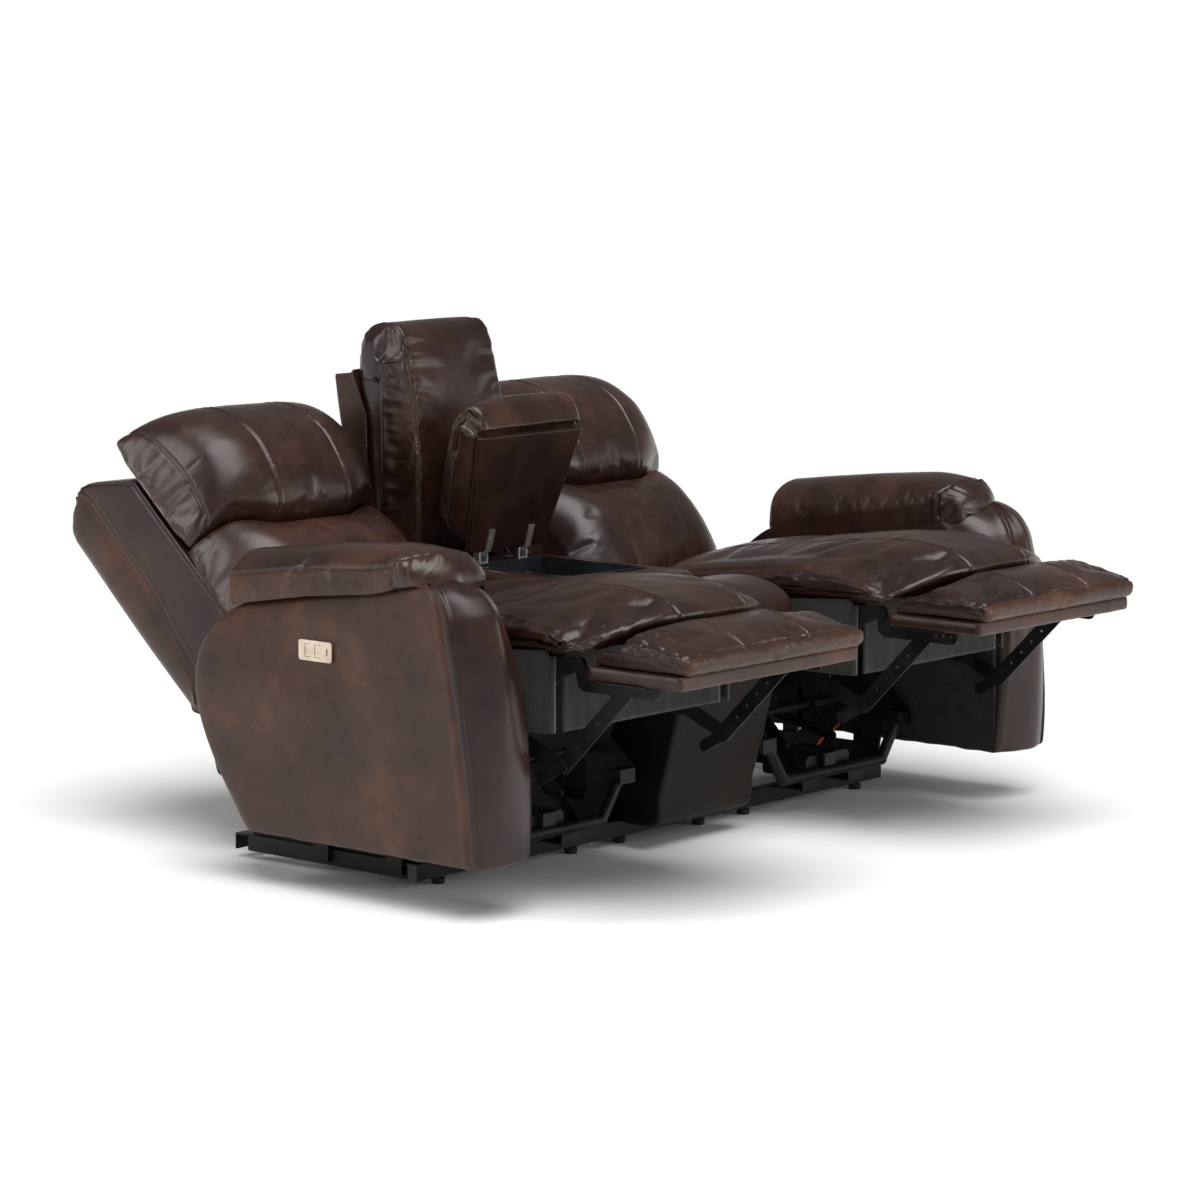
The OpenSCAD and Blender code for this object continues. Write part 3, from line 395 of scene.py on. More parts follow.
def puff(v, pins, cap, frames=22):
    """A closed grid blown up as cloth with its pinned points held, none moving further than the cap."""
    o = skin("cloth", v, None)
    group = o.vertex_groups.new(name="pins")
    weights = pins.reshape(-1)
    for i in np.nonzero(weights > 0)[0]:
        group.add([int(i)], float(weights[i]), "REPLACE")
    cloth = o.modifiers.new("cloth", "CLOTH")
    s = cloth.settings
    s.quality = 7
    s.tension_stiffness = s.compression_stiffness = 15
    s.shear_stiffness = 8
    s.bending_stiffness = 4
    s.air_damping = 2
    s.use_pressure = True
    s.uniform_pressure_force = 4
    s.effector_weights.gravity = 0
    s.vertex_group_mass = "pins"
    s.shrink_min = -0.004
    cloth.point_cache.frame_end = frames
    for f in range(1, frames + 1):
        bpy.context.scene.frame_set(f)
    done = o.evaluated_get(bpy.context.evaluated_depsgraph_get()).data
    co = np.empty(len(done.vertices) * 3)
    done.vertices.foreach_get("co", co)
    moved = (co.reshape(-1, 3) - (0, RAIL_Y, 0)).reshape(v.shape) * 1000 - v
    length = np.linalg.norm(moved, axis=2, keepdims=True)
    bpy.context.scene.frame_set(1)
    bpy.data.objects.remove(o)
    return v + moved * np.minimum(1, cap / np.maximum(length, 1e-6))


def lengths(v):
    """How far each point of a grid is along its column and along its row, and each row's whole length."""
    down = np.cumsum(np.linalg.norm(np.diff(v, axis=0), axis=2), 0)
    across = np.concatenate([np.zeros((1, v.shape[1])), down])
    step = np.linalg.norm(np.roll(v, -1, 1) - v, axis=2)
    around = np.concatenate([np.zeros((v.shape[0], 1)), np.cumsum(step, 1)[:, :-1]], 1)
    return across, around, step.sum(1, keepdims=True)


def round_from(around, total, column):
    """How far round its row each point is from one column, by the shorter way."""
    return (around - around[:, column][:, None] + total / 2) % total - total / 2


def ring_seam(row, start, end, gather, strong=0):
    """A seam that keeps to one ring, between two shares of the way round.

    The leather is gathered along it by so many millimetres, and strong names the side where that shows most.
    """
    return "ring", row, start, end, gather, strong


def row_seam(share, start, end, gather):
    """A seam that keeps to one share of the way round, between two rings."""
    return "row", share, start, end, gather, 0


def seam_field(v, seam, measures):
    """Each point's distance to a seam's line, how far it is past the seam's ends, and its place along it."""
    across, around, total = measures
    m, n = v.shape[:2]
    kind, at, start, end = seam[:4]
    if kind == "ring":
        distance = across - across[at][None, :]
        length = (end - start) % 1 or 1
        inside = (np.arange(n)[None, :] / n - start) % 1
        past = np.where(inside <= length, 0, np.minimum(inside - length, 1 - inside)) * total
        return distance, past, around
    row = np.arange(m)[:, None]
    step = np.gradient(across, axis=0).mean()
    past = np.maximum(np.maximum(start - row, row - end), 0) * step + 0 * around
    return round_from(around, total, int(round(at * n)) % n), past, across


def sew(v, seams, seed, depth=2.8, width=2.8, swell=0.7, reach=24.0, pitch=15.0):
    """Presses the seams in, swells the leather beside them and gathers it across them."""
    measures = lengths(v)
    move = np.zeros(v.shape[:2])
    for k, seam in enumerate(seams):
        gather, strong = seam[4:]
        distance, past, along = seam_field(v, seam, measures)
        fade = np.exp(-((past / 8) ** 2))
        d = np.abs(distance)
        move -= fade * depth * np.exp(-((d / width) ** 2))
        move += fade * swell * np.exp(-(((d - 3.2 * width) / (2.2 * width)) ** 2))
        wander = noise(v, 46, seed + k) * 5 + d * 0.25 * noise(v, 70, seed + k + 9)
        side = np.sign(distance) * 3 + d / 70
        lines = np.stack([(along + wander) / pitch, side, np.full(d.shape, k * 7.0)], -1)
        folds = 1 - 2 * np.abs(noise(lines, 1, seed + 31 * k)) ** 0.7
        strength = np.clip(0.5 + 0.7 * noise(v, 80, seed + 5 * k), 0.05, 1)
        if strong:
            strength = strength * np.where(distance * strong > 0, 1.0, 0.3)
        move += fade * gather * strength * folds * np.exp(-d / reach) * (1 - np.exp(-((d / 3.0) ** 2)))
    return v + normals(v) * move[..., None]


def fan(v, row, share, seed, height, reach, folds):
    """Creases that spread out from one place on a grid."""
    across, around, total = lengths(v)
    column = int(round(share * v.shape[1])) % v.shape[1]
    a = across - across[row, column]
    b = round_from(around, total, column)
    r = np.hypot(a, b)
    angle = np.arctan2(b, a)
    p = np.stack([folds * np.cos(angle), folds * np.sin(angle), r / 90], -1)
    ridge = 1 - 2 * np.abs(noise(p, 1, seed)) ** 0.8
    move = height * ridge * np.exp(-r / reach) * (1 - np.exp(-((r / 14) ** 2)))
    return v + normals(v) * move[..., None]


def crumple(v, seed, size, height, stretch=(1, 1, 1)):
    """Long shallow creases of the leather."""
    n = normals(v)
    p = v * np.array(stretch) + 9 * noise(v, 60, seed)[..., None]
    ridge = 1 - np.abs(noise(p, size, seed + 1)) * 2
    return v + n * (height * ridge * (0.6 + 0.4 * noise(v, 140, seed + 2)))[..., None]


def refine(v, rows, fine):
    """A grid made twice as fine, and more so next to the rows in fine, with each old row's new number."""
    last = len(rows) - 1
    us = set(np.round(np.linspace(0, last, last * 2 + 1), 4))
    for f in fine:
        us |= {round(f + d, 4) for d in (-0.34, -0.16, 0.16, 0.34) if 0 <= f + d <= last}
    us = np.array(sorted(us))
    v = spline_at(v, us, 0, False)
    v = spline_at(v, np.arange(v.shape[1] * 2) / 2, 1, True)
    return v, {i: int(np.argmin(np.abs(us - i))) for i in range(len(rows))}


def row_of(rows, x):
    return int(np.argmin([abs(r[0] - x) + 40 * r[2] for r in rows]))


def seam_path(v, seam, aside):
    """The points, normals and sides of a line beside a seam on a grid."""
    n = v.shape[1]
    kind, at, start, end = seam[:4]
    if kind == "ring":
        length = (end - start) % 1 or 1
        down = np.array([float(at)])
        across = (start + np.linspace(0, length, max(4, int(length * n)))) * n % n
    else:
        down = np.arange(start, end + 1, dtype=float)
        across = np.array([at * n]) % n
    p, q = (spline_at(spline_at(g, down, 0, False), across, 1, True).reshape(-1, 3) for g in (v, normals(v)))
    q /= np.linalg.norm(q, axis=1, keepdims=True) + 1e-9
    t = np.gradient(p, axis=0)
    t /= np.linalg.norm(t, axis=1, keepdims=True) + 1e-9
    side = np.cross(t, q)
    return p + side * aside, q, side


STITCH, STITCH_GAP, STITCH_HALF = 6.0, 1.8, 0.75
STITCH_RISE = np.array([0.3, 0.9, 0.3])[:, None]


def stitches(name, paths):
    """Short flat threads along lines given as (points, normals, sides)."""
    verts, faces = [], []
    for p, q, side in paths:
        s = travelled(p)
        for a in np.arange(1.0, s[-1] - STITCH, STITCH + STITCH_GAP):
            c, up, out = (line_at(g, s, (a, a + STITCH / 2, a + STITCH)) for g in (p, q, side))
            c = c + up * STITCH_RISE
            b = len(verts)
            verts += [*(c - out * STITCH_HALF), *(c + out * STITCH_HALF), *(c - up * 1.2)]
            for i in (b, b + 1):
                faces += [[i, i + 1, i + 4, i + 3], [i, i + 6, i + 7, i + 1], [i + 3, i + 4, i + 7, i + 6]]
            faces += [[b, b + 3, b + 6], [b + 2, b + 8, b + 5]]
    return make(name, room(np.array(verts)), faces, THREAD)


# Soft forms
ROOT = "frame"
ROUND = (0, 1)
LAST = 10000


def dress(o, body, nodes, slot, fill=None):
    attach(o, body)
    if nodes:
        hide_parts(*nodes)
    return o


def paint(o, v, material, rows, columns):
    """A second material for a grid's faces between two rows and between two shares of the way round."""
    n = v.shape[1]
    o.data.materials.append(material)
    index = len(o.data.materials) - 1
    (r0, r1), (c0, c1) = rows, columns
    width = (c1 - c0) % 1 or 1
    for k, f in enumerate(o.data.polygons):
        if f.loop_total != 4:
            continue
        i, j = divmod(k, n)
        if r0 <= i < r1 and ((j + 0.5) / n - c0) % 1 < width:
            f.material_index = index


def clad(name, g, found, bands, material, body, node, slot, fill, aside=3.0):
    """The object of a sewn grid, with its bands of other leather and its threads."""
    o = skin(name, g, material)
    for band in bands:
        paint(o, g, *band)
    dress(o, body, [node] if node else [], slot, fill)
    if found:
        paths = [seam_path(g, seam, aside) for seam in found]
        dress(stitches(name + "_thread", paths), body, (), slot)


def soft(name, node, body, material, slot, points, half, reach, draw, place, seams, seed, *, count=110,
         step=10.0, seam_xs=(), crown=8.0, pins=None, cap=0.0, fill=0.7, sewing=None, crease=(150, 0.8),
         both=True, low_at=None, fans=None, painted=None):
    """A cushion, pad or pillow: rings, cloth, seams, creases and threads, and its mirror on the other seat.

    seams, fans and painted are functions of (outline, rows, where). They list the form's seams, the places
    that creases spread from and the bands of other leather. where gives each row its number once refined.
    """
    outline = closed(points, count)
    rows = stations(half, reach, seam_xs, step, crown)
    v = np.array([place(x, shrunk(outline, d * draw, k)) for x, d, k in rows])
    if pins:
        v = puff(v, pins(outline, rows), cap)
    v, where = refine(v, rows, [row_of(rows, s * x) for x in seam_xs for s in (-1, 1)])
    found, spots, bands = (f(outline, rows, where) if f else [] for f in (seams, fans, painted))
    for side, prefix in SIDES if both else ((1, ""),):
        g = v * (side, 1, 1) + (side * SEAT_X if both else 0, 0, 0)
        s = seed + (50 if side < 0 else 0)
        if crease:
            g = crumple(g, s, *crease)
        for row, share, *spread in spots:
            g = fan(g, row, share, s + row, *spread)
        g = sew(g, found, s, **(sewing or {}))
        if low_at:
            g = low_at(g)
        clad(prefix + name, g, found, bands, material, body if body == ROOT else prefix + body,
             node and prefix + node, slot, fill)


def ends_at(rows, where, x):
    """The refined rows of a form nearest to -x and x."""
    return [where[row_of(rows, s * x)] for s in (-1, 1)]


def ring_pair(rows, where, x, start, end, gather, strong=0):
    """Two like seams at -x and x. A strong side of 1 is the outer one, and -1 the inner one."""
    left, right = ends_at(rows, where, x)
    return [ring_seam(left, start, end, gather, -strong), ring_seam(right, start, end, gather, strong)]


def end_bands(ends):
    """Painted shade: darker leather beyond a form's two end seams."""
    return [(SHADED, (0, ends[0]), ROUND), (SHADED, (ends[1], LAST), ROUND)]


def held(rests, rows, xs=(), share=0.8):
    """Pins for a form: full where its outline rests on something, and partly along the seams at xs."""
    w = np.tile(rests, (len(rows), 1)).astype(float)
    for x in xs:
        for r in (row_of(rows, -x), row_of(rows, x)):
            w[r] = np.maximum(w[r], share)
    return w


def lean(p, origin, angle):
    """[x, depth, height] in a leaning frame, in the rail frame. A positive angle leans it back."""
    y = origin[0] + p[..., 1] * math.cos(angle) + p[..., 2] * math.sin(angle)
    z = origin[1] - p[..., 1] * math.sin(angle) + p[..., 2] * math.cos(angle)
    return np.stack([p[..., 0], y, z], -1)


def with_x(x, *columns):
    return np.column_stack([np.full(len(columns[0]), x), *columns])


# Seat cushion, where F is the footrest's hinge and the panel seams run at PANEL_X
F = HINGE[0]
PANEL_X = 101
SEAT = [(242, 0), (0, 0), (-300, 0), (F, 0), (F - 30, 6), (F - 80, 36), (F - 124, 66), (F - 106, 88),
        (F - 50, 106), (F + 40, 119), (-220, 119), (-60, 113), (90, 105), (190, 88), (250, 49)]
SEAT_HALF = half_width("right_seat_cushion")
SEAT_EDGE = SEAT_HALF - 16


def seat_floor(y):
    board = HINGE[1] + 17.5
    return np.where(y < F, board, np.interp(y, [F, 300], [board, 443]))


def seat_place(x, q):
    share = abs(x / SEAT_HALF)
    lift = 1 - (0.14 + 0.62 * np.clip((-210 - q[:, 0]) / 200, 0, 1)) * share**4
    pull = np.where(q[:, 0] < -300, (q[:, 0] + 300) * 0.42 * share**3, 0)
    return with_x(x, q[:, 0] - pull, seat_floor(q[:, 0]) + np.maximum(0, q[:, 1]) * lift)


def seat_pins(outline, rows):
    return held(outline[:, 1] < 14, rows, (PANEL_X,), 0.7)


def seat_seams(outline, rows, where):
    top_rear, nose, low = (near(outline, p) for p in ((190, 88), (F - 110, 60), (F - 60, 24)))
    return (ring_pair(rows, where, PANEL_X, top_rear, nose, 0.7)
            + ring_pair(rows, where, SEAT_EDGE, top_rear, low, 2.6, -1))


def seat_bands(outline, rows, where):
    underside = near(outline, (F - 30, 8)), near(outline, (242, 0))
    # Painted shade on the cushion's ends beyond the side seams and on its underside
    return [*end_bands(ends_at(rows, where, SEAT_EDGE)), (SHADED, (0, LAST), underside)]


def seat_fans(outline, rows, where):
    nose = near(outline, (F - 112, 58))
    return [(row, nose, 3.8, 190.0, 5.0) for row in ends_at(rows, where, SEAT_HALF - 24)]


def clear_of_arms(g):
    """Keeps a seat cushion between the arm and the console, which it slides past."""
    across = np.clip(np.abs(g[..., 0]) - SEAT_X, -SEAT_HALF - 2, SEAT_HALF + 2)
    return np.stack([np.sign(g[..., 0]) * (SEAT_X + across), g[..., 1], g[..., 2]], -1)


soft("seat", "seat_cushion", "seat", CUSHION, "cushion_leather", SEAT, SEAT_HALF, 40, 30, seat_place,
     seat_seams, 3, seam_xs=(PANEL_X, 200), pins=seat_pins, cap=16.0, fans=seat_fans, painted=seat_bands,
     low_at=clear_of_arms)

# Lumbar and headrest pillows, as (depth, height) along the back, with their crease at C and the top at T
C = 314.5
T = C + 340
LUMBAR_REAR, HEAD_REAR = -45.3, -55.6
PILLOW_HALF = 290.0
EDGE = 245
LUMBAR = [(-45.4, C - 8), (-45.4, 180), (-47.4, 48), (-79, 30), (-118, 40), (-163, 110), (-186, 180),
          (-188, 240), (-173, C - 30), (-150, C - 4), (-90, C)]
HEAD = [(-55.4, C + 8), (-55.4, C + 150), (-55.4, T - 40), (-77, T - 6), (-118, T - 2), (-170, T - 32),
        (-214, T - 92), (-236, T - 168), (-230, C + 110), (-212, C + 54), (-180, C + 12), (-110, C + 1)]


def end_rise(x):
    """The crease between the pillows climbs toward each end."""
    s = np.clip((np.abs(x) - 95) / 120, 0, 1)
    return 34 * s * s * (3 - 2 * s)


def pillow_place(rear, low, high, head):
    """The front rounds back to the end seams, and the gusset beyond them slants out to the shell."""
    def place(x, q):
        share = min(abs(x), EDGE) / 264
        tail = PILLOW_HALF - 8
        lift = (1 - share**5) ** 0.62 * np.clip((tail - abs(x)) / (tail - EDGE), 0, 1) ** 0.8
        d = rear + (np.minimum(rear, q[:, 0]) - rear) * lift
        u = np.clip(q[:, 1], low, high)
        if head:
            u = u - 14 * np.clip((u - high + 70) / 70, 0, 1) * share**4
            u = u + end_rise(x) * np.clip((T - 150 - u) / (T - 150 - C), 0, 1)
        else:
            u = u + end_rise(x) * np.clip((u - 180) / (C - 180), 0, 1)
        across = np.sign(x) * (min(abs(x), EDGE) + 0.74 * max(0, abs(x) - EDGE))
        return lean(with_x(across, d, u), BACK, TILT)
    return place


def pillow_pins(rear, low, high):
    def pins(outline, rows):
        d, u = outline.T
        return held((d > rear - 6) | (u > high) | (u < low), rows, (PANEL_X, EDGE))
    return pins


def pillow_seams(first, last):
    def seams(outline, rows, where):
        a, b = near(outline, first), near(outline, last)
        return ring_pair(rows, where, PANEL_X, a, b, 1.0) + ring_pair(rows, where, EDGE, a, b, 4.2, 1)
    return seams


def stay_below(edge, way, rear):
    """Keeps a form on its own side of the crease between the pillows, and in front of its rear."""
    def keep(g):
        rise = end_rise(np.abs(g[..., 0]) - SEAT_X)
        y, z = g[..., 1] - BACK[0], g[..., 2] - BACK[1]
        u = y * math.sin(TILT) + z * math.cos(TILT)
        d = y * math.cos(TILT) - z * math.sin(TILT)
        over = np.minimum(0, way * (edge + rise - u)) * way
        return lean(np.stack([g[..., 0], np.minimum(d, rear), u + over], -1), BACK, TILT)
    return keep


def pillow(name, node, body, points, place, seams, seed, **more):
    soft(name, node, body, CUSHION, "cushion_leather", points, PILLOW_HALF - 6, 14, 12, place, seams, seed,
         seam_xs=(PANEL_X, EDGE), sewing={"reach": 30.0, "pitch": 12.0}, **more)


pillow("lumbar", "lumbar_pillow", "back", LUMBAR, pillow_place(LUMBAR_REAR, 0, C - 0.6, False),
       pillow_seams((-118, 40), (-150, C - 4)), 11, pins=pillow_pins(LUMBAR_REAR, 34, C - 10), cap=22.0,
       low_at=stay_below(C - 0.5, 1, LUMBAR_REAR))
pillow("headrest", "headrest_pillow", "headrest", HEAD, pillow_place(HEAD_REAR, C, T, True),
       pillow_seams((-77, T - 6), (-180, C + 12)), 17, pins=pillow_pins(HEAD_REAR, C + 6, 5000), cap=24.0,
       low_at=stay_below(C + 0.1, -1, -55.5), count=120)

# Footrest pads and boards, whose lowest front edge is at BOARD_F and BOARD_Z. The pad lies on the board at PB
BOARD_Z = HINGE[1] - 24
BOARD_HALF = half_width("right_footrest_board")
BOARD_F = (span("right_footrest_board")[0][1] - RAIL_Y) * 1000
PB = BOARD_Z + 28.2
PAD = [(BOARD_F + 212, PB), (BOARD_F + 110, PB), (BOARD_F + 14, PB), (BOARD_F - 10, PB + 4),
       (BOARD_F - 18, PB + 23), (BOARD_F - 4, PB + 44), (BOARD_F + 34, PB + 62), (BOARD_F + 82, PB + 76),
       (BOARD_F + 114, PB + 78), (BOARD_F + 136, PB + 70), (BOARD_F + 160, PB + 45), (BOARD_F + 196, PB + 17)]
PAD_FRONT, PAD_BACK = (BOARD_F - 10, PB + 38), (BOARD_F + 150, PB + 56)


def pad_place(x, q):
    lift = 1 - 0.12 * (x / (BOARD_HALF + 5)) ** 4
    return with_x(x, q[:, 0], PB + np.maximum(0, q[:, 1] - PB) * lift)


def pad_pins(outline, rows):
    return held(outline[:, 1] < PB + 3, rows, (PANEL_X,))


def pad_seams(outline, rows, where):
    front, rear = near(outline, PAD_FRONT), near(outline, PAD_BACK)
    end = BOARD_HALF - 8
    return (ring_pair(rows, where, PANEL_X, rear, front, 0.8)
            + [row_seam(front, *ends_at(rows, where, end), 3.0)]
            + ring_pair(rows, where, end, rear, front, 1.8))


def pad_bands(outline, rows, where):
    ends = ends_at(rows, where, BOARD_HALF - 8)
    border = near(outline, PAD_FRONT), near(outline, (BOARD_F + 14, PB))
    # Painted shade on the pad's ends beyond the end seams; the front border is side leather
    return [(SIDE, ends, border), *end_bands(ends)]


def pad_fans(outline, rows, where):
    rear, front = near(outline, PAD_BACK), near(outline, (BOARD_F + 4, PB + 48))
    ends = ends_at(rows, where, BOARD_HALF - 20)
    return [(row, rear, 2.4, 110.0, 4.0) for row in ends] + [(row, front, 1.4, 70.0, 3.5) for row in ends]


soft("footrest_cushion", "footrest_pad", "footrest", CUSHION, "cushion_leather", PAD, BOARD_HALF + 5, 20, 13,
     pad_place, pad_seams, 23, count=90, seam_xs=(PANEL_X, 230), pins=pad_pins, cap=14.0, fans=pad_fans,
     painted=pad_bands)

WRAP_T, WRAP_R, WRAP_D = 28.0, 7.0, 230.0


def wrap_outline():
    """The board's leather, rounded at its edges, with more points along its two flat sides."""
    near_y, far_y = WRAP_R, WRAP_D - WRAP_R
    low, high = WRAP_R, WRAP_T - WRAP_R
    q = []
    for y, z, start in ((far_y, high, 0), (near_y, high, 90), (near_y, low, 180), (far_y, low, 270)):
        turn = [math.radians(start + a) for a in (0, 45, 90)]
        q += [(y + WRAP_R * math.cos(a), z + WRAP_R * math.sin(a)) for a in turn]
        if start in (0, 180):
            y1, z1 = q[-1]
            along = (WRAP_R - WRAP_D / 2) * (1 if start == 0 else -1)
            q += [(y1 + along * k, z1) for k in (0.5, 1, 1.5)]
    return [(BOARD_F + y, BOARD_Z + z) for y, z in q]


def wrap_bands(outline, rows, where):
    # Painted shade on the board's ends
    return end_bands(ends_at(rows, where, BOARD_HALF - 6))


soft("footrest_wrap", "footrest_board", "footrest", SIDE, "side_leather", wrap_outline(), BOARD_HALF, 8, 6,
     with_x, None, 29, count=90, step=14, crown=1.5, fill=None, crease=(60, 0.9), painted=wrap_bands)

# Arms and their pads
ARM_IN, ARM_OUT = (p[0] * 1000 for p in span("right_arm"))
ARM_Z = span("right_arm")[0][2] * 1000


def eased(t, pairs):
    """A smooth curve through pairs of (at, value)."""
    a = np.array(pairs, float)
    slope = np.gradient(a[:, 1], a[:, 0])
    i = int(np.clip(np.searchsorted(a[:, 0], t) - 1, 0, len(a) - 2))
    w = a[i + 1, 0] - a[i, 0]
    f = (t - a[i, 0]) / w
    return ((2 * f**3 - 3 * f**2 + 1) * a[i, 1] + (f**3 - 2 * f**2 + f) * w * slope[i]
            + (3 * f**2 - 2 * f**3) * a[i + 1, 1] + (f**3 - f**2) * w * slope[i + 1])


def arm_top(y):
    return 609 - 0.165 * y


# Depths of the arm's plan by the share of its height: rear, front seams, foremost line, inner corner, swell
ARM_REAR = [(0, 292), (0.12, 322), (0.25, 358), (0.4, 390), (0.55, 410), (0.7, 415), (0.8, 405), (0.88, 384),
            (0.94, 352), (0.98, 318), (1, 296)]
ARM_SEAM_OUT = [(0, -316), (0.2, -312), (0.4, -300), (0.58, -286), (0.78, -262), (0.9, -243), (0.96, -222),
                (1, -196)]
ARM_TIP = [(0, -346), (0.2, -353), (0.4, -356), (0.58, -350), (0.78, -332), (0.88, -312), (0.95, -276),
           (1, -226)]
ARM_SEAM_W = [(0, 6), (0.2, 13), (0.4, 22), (0.58, 34), (0.78, 66), (0.88, 80), (0.95, 96), (1, 112)]
ARM_SEAM_Y = [(0, -318), (0.2, -326), (0.4, -327), (0.58, -320), (0.78, -308), (0.88, -290), (0.95, -256),
              (1, -214)]
ARM_CORNER = [(0, -300), (0.2, -298), (0.4, -288), (0.58, -268), (0.78, -226), (0.88, -196), (0.95, -164),
              (1, -130)]
ARM_SWELL = [(0, 12), (0.04, 7), (0.12, 3), (0.25, 0), (0.88, 0), (0.94, 5), (1, 16)]
ARM_STEPS = [16, 16, 10, 12, 8, 8, 7, 7, 7, 7, 5, 14, 14, 16, 14, 3, 3, 12, 2]
ARM_COUNT = sum(ARM_STEPS)
IN_CORNER, IN_SEAM, OUT_SEAM = (sum(ARM_STEPS[:k]) / ARM_COUNT for k in (5, 6, 11))


def loft(name, node, body, v, material, slot, found, seed, crease, fill=0.8, sewing=None, painted=(), side=1):
    """A form given as a grid: creased, sewn, painted and threaded."""
    g = sew(crumple(v, seed, *crease), found, seed, **(sewing or {}))
    clad(name, g, found, painted, material, body, node, slot, fill, 3.0 * side)


def arm_ring(t, inset, shrink):
    a, o = ARM_IN, ARM_OUT - eased(t, ARM_SWELL)
    f, tip, corner, b = (eased(t, k) for k in (ARM_SEAM_OUT, ARM_TIP, ARM_CORNER, ARM_REAR))
    w, y = eased(t, ARM_SEAM_W), eased(t, ARM_SEAM_Y)
    mid = max(108, w + 12)
    inner = [(a, b - 8), (a, b * 0.5), (a, 0), (a, corner * 0.55), (a, corner)]
    front = [(a + w * 0.34, corner + (y - corner) * 0.62), (a + w, y),
             (a + (w + mid) / 2, y + (tip - y) * 0.75), (a + mid, tip),
             (a + 146, tip + (f - tip) * 0.26), (o - 9, tip + (f - tip) * 0.66)]
    outer = [(o, f), (o, f * 0.5), (o, 0), (o, b * 0.5), (o, b - 34), (o - 9, b - 12), (o - 30, b),
             (a + 12, b)]
    q = shrunk(stepped(inner + front + outer, ARM_STEPS), inset, shrink)
    return np.column_stack([q, ARM_Z + (arm_top(q[:, 1]) - ARM_Z) * t])


def arm_plan():
    """The arm's rings as (share of its height, drawn in, share of the cap), and its two outer full ones."""
    edge = [(math.sin(a), 1 - math.cos(a)) for a in np.linspace(0, math.pi / 2, 6)]
    plan = [(0, 7, k) for k in CAPS[::-1]] + [((1 - up) * 0.014, 7 * back, 0) for up, back in edge[::-1]]
    first = len(plan) - 1
    plan += [(t, 0, 0) for t in np.concatenate([np.linspace(0.03, 0.86, 42), np.linspace(0.872, 0.972, 11)])]
    last = len(plan) - 1
    plan += [(0.972 + 0.028 * up, 13 * back, 0) for up, back in edge[1:]] + [(1, 13, k) for k in CAPS]
    return plan, first, last


def arm_leather(g, side, plate, found):
    """An arm's grid dished before its switch plate, wrinkled at its foot, flat behind the plate, and sewn."""
    seed = 41 + side
    x, y, z = side * ARM_OUT, plate[1] - RAIL_Y * 1000, plate[2]
    out = normals(g)
    d = np.linalg.norm((g - (x, y - 62, z - 12)) / (1, 1.5, 1), axis=2)
    g = g - out * (5.5 * np.exp(-((d / 30) ** 2)))[..., None]
    low_edge = np.exp(-(g[..., 2] - ARM_Z) / 34)
    g = g + out * (1.8 * low_edge * noise(g * (1, 1, 0.25), 34, seed))[..., None]
    g = crumple(g, seed, 210, 1.6, (1, 1, 0.6))
    away = np.linalg.norm((g - (x, y, z)) / (1, 1.3, 1), axis=2)
    proud = np.maximum(0, np.abs(g[..., 0]) - ARM_OUT + 0.8)
    g[..., 0] -= side * proud * np.exp(-((away / 85) ** 4))
    g = sew(g, found, seed, depth=2.8, width=3.2, swell=1.2, reach=14)
    g[..., 0] = side * np.maximum(np.abs(g[..., 0]), ARM_IN - 1.5)
    return g


def arms():
    plan, first, last = arm_plan()
    v = doubled(np.array([arm_ring(*row) for row in plan]))
    found = [row_seam(at, first * 2, last * 2 + 6, 0.9) for at in (OUT_SEAM, IN_SEAM)]
    below_seat = int(np.argmax([t > 0.56 for t, _, _ in plan[first:]]) + first) * 2
    # Painted shade: darker leather on the front panel between the seams, and near-black leather on the inner
    # corner below the seat. The upper inner side is cushion leather and the lowest inner side black cloth.
    bands = [(SHADED, (0, LAST), (IN_SEAM, OUT_SEAM)), (CUSHION, (below_seat, LAST), (0, IN_SEAM)),
             (DARK, (0, below_seat), (IN_CORNER, IN_SEAM)), (CLOTH, (0, below_seat), (0, IN_CORNER))]
    for side, name in SIDES:
        g = arm_leather(v * (side, 1, 1), side, middle(name + "switch_plate"), found)
        o = dress(skin(name + "arm_cover", g, SIDE), ROOT, [name + "arm"], "side_leather", 0.8)
        for band in bands:
            paint(o, g, *band)
        paths = [seam_path(g, seam, 3.5 * side) for seam in found]
        dress(stitches(name + "arm_thread", paths), ROOT, (), "side_leather")


arms()

PAD_REAR, PAD_SEAM, PAD_NOSE = 306.0, -180.0, -226.0
PAD_STEPS = [4, 5, 5, 5, 6, 7, 6, 5, 4, 4, 3, 6, 7, 3, 4, 2]
OUTER_SEAM = sum(PAD_STEPS[:8]) / sum(PAD_STEPS)


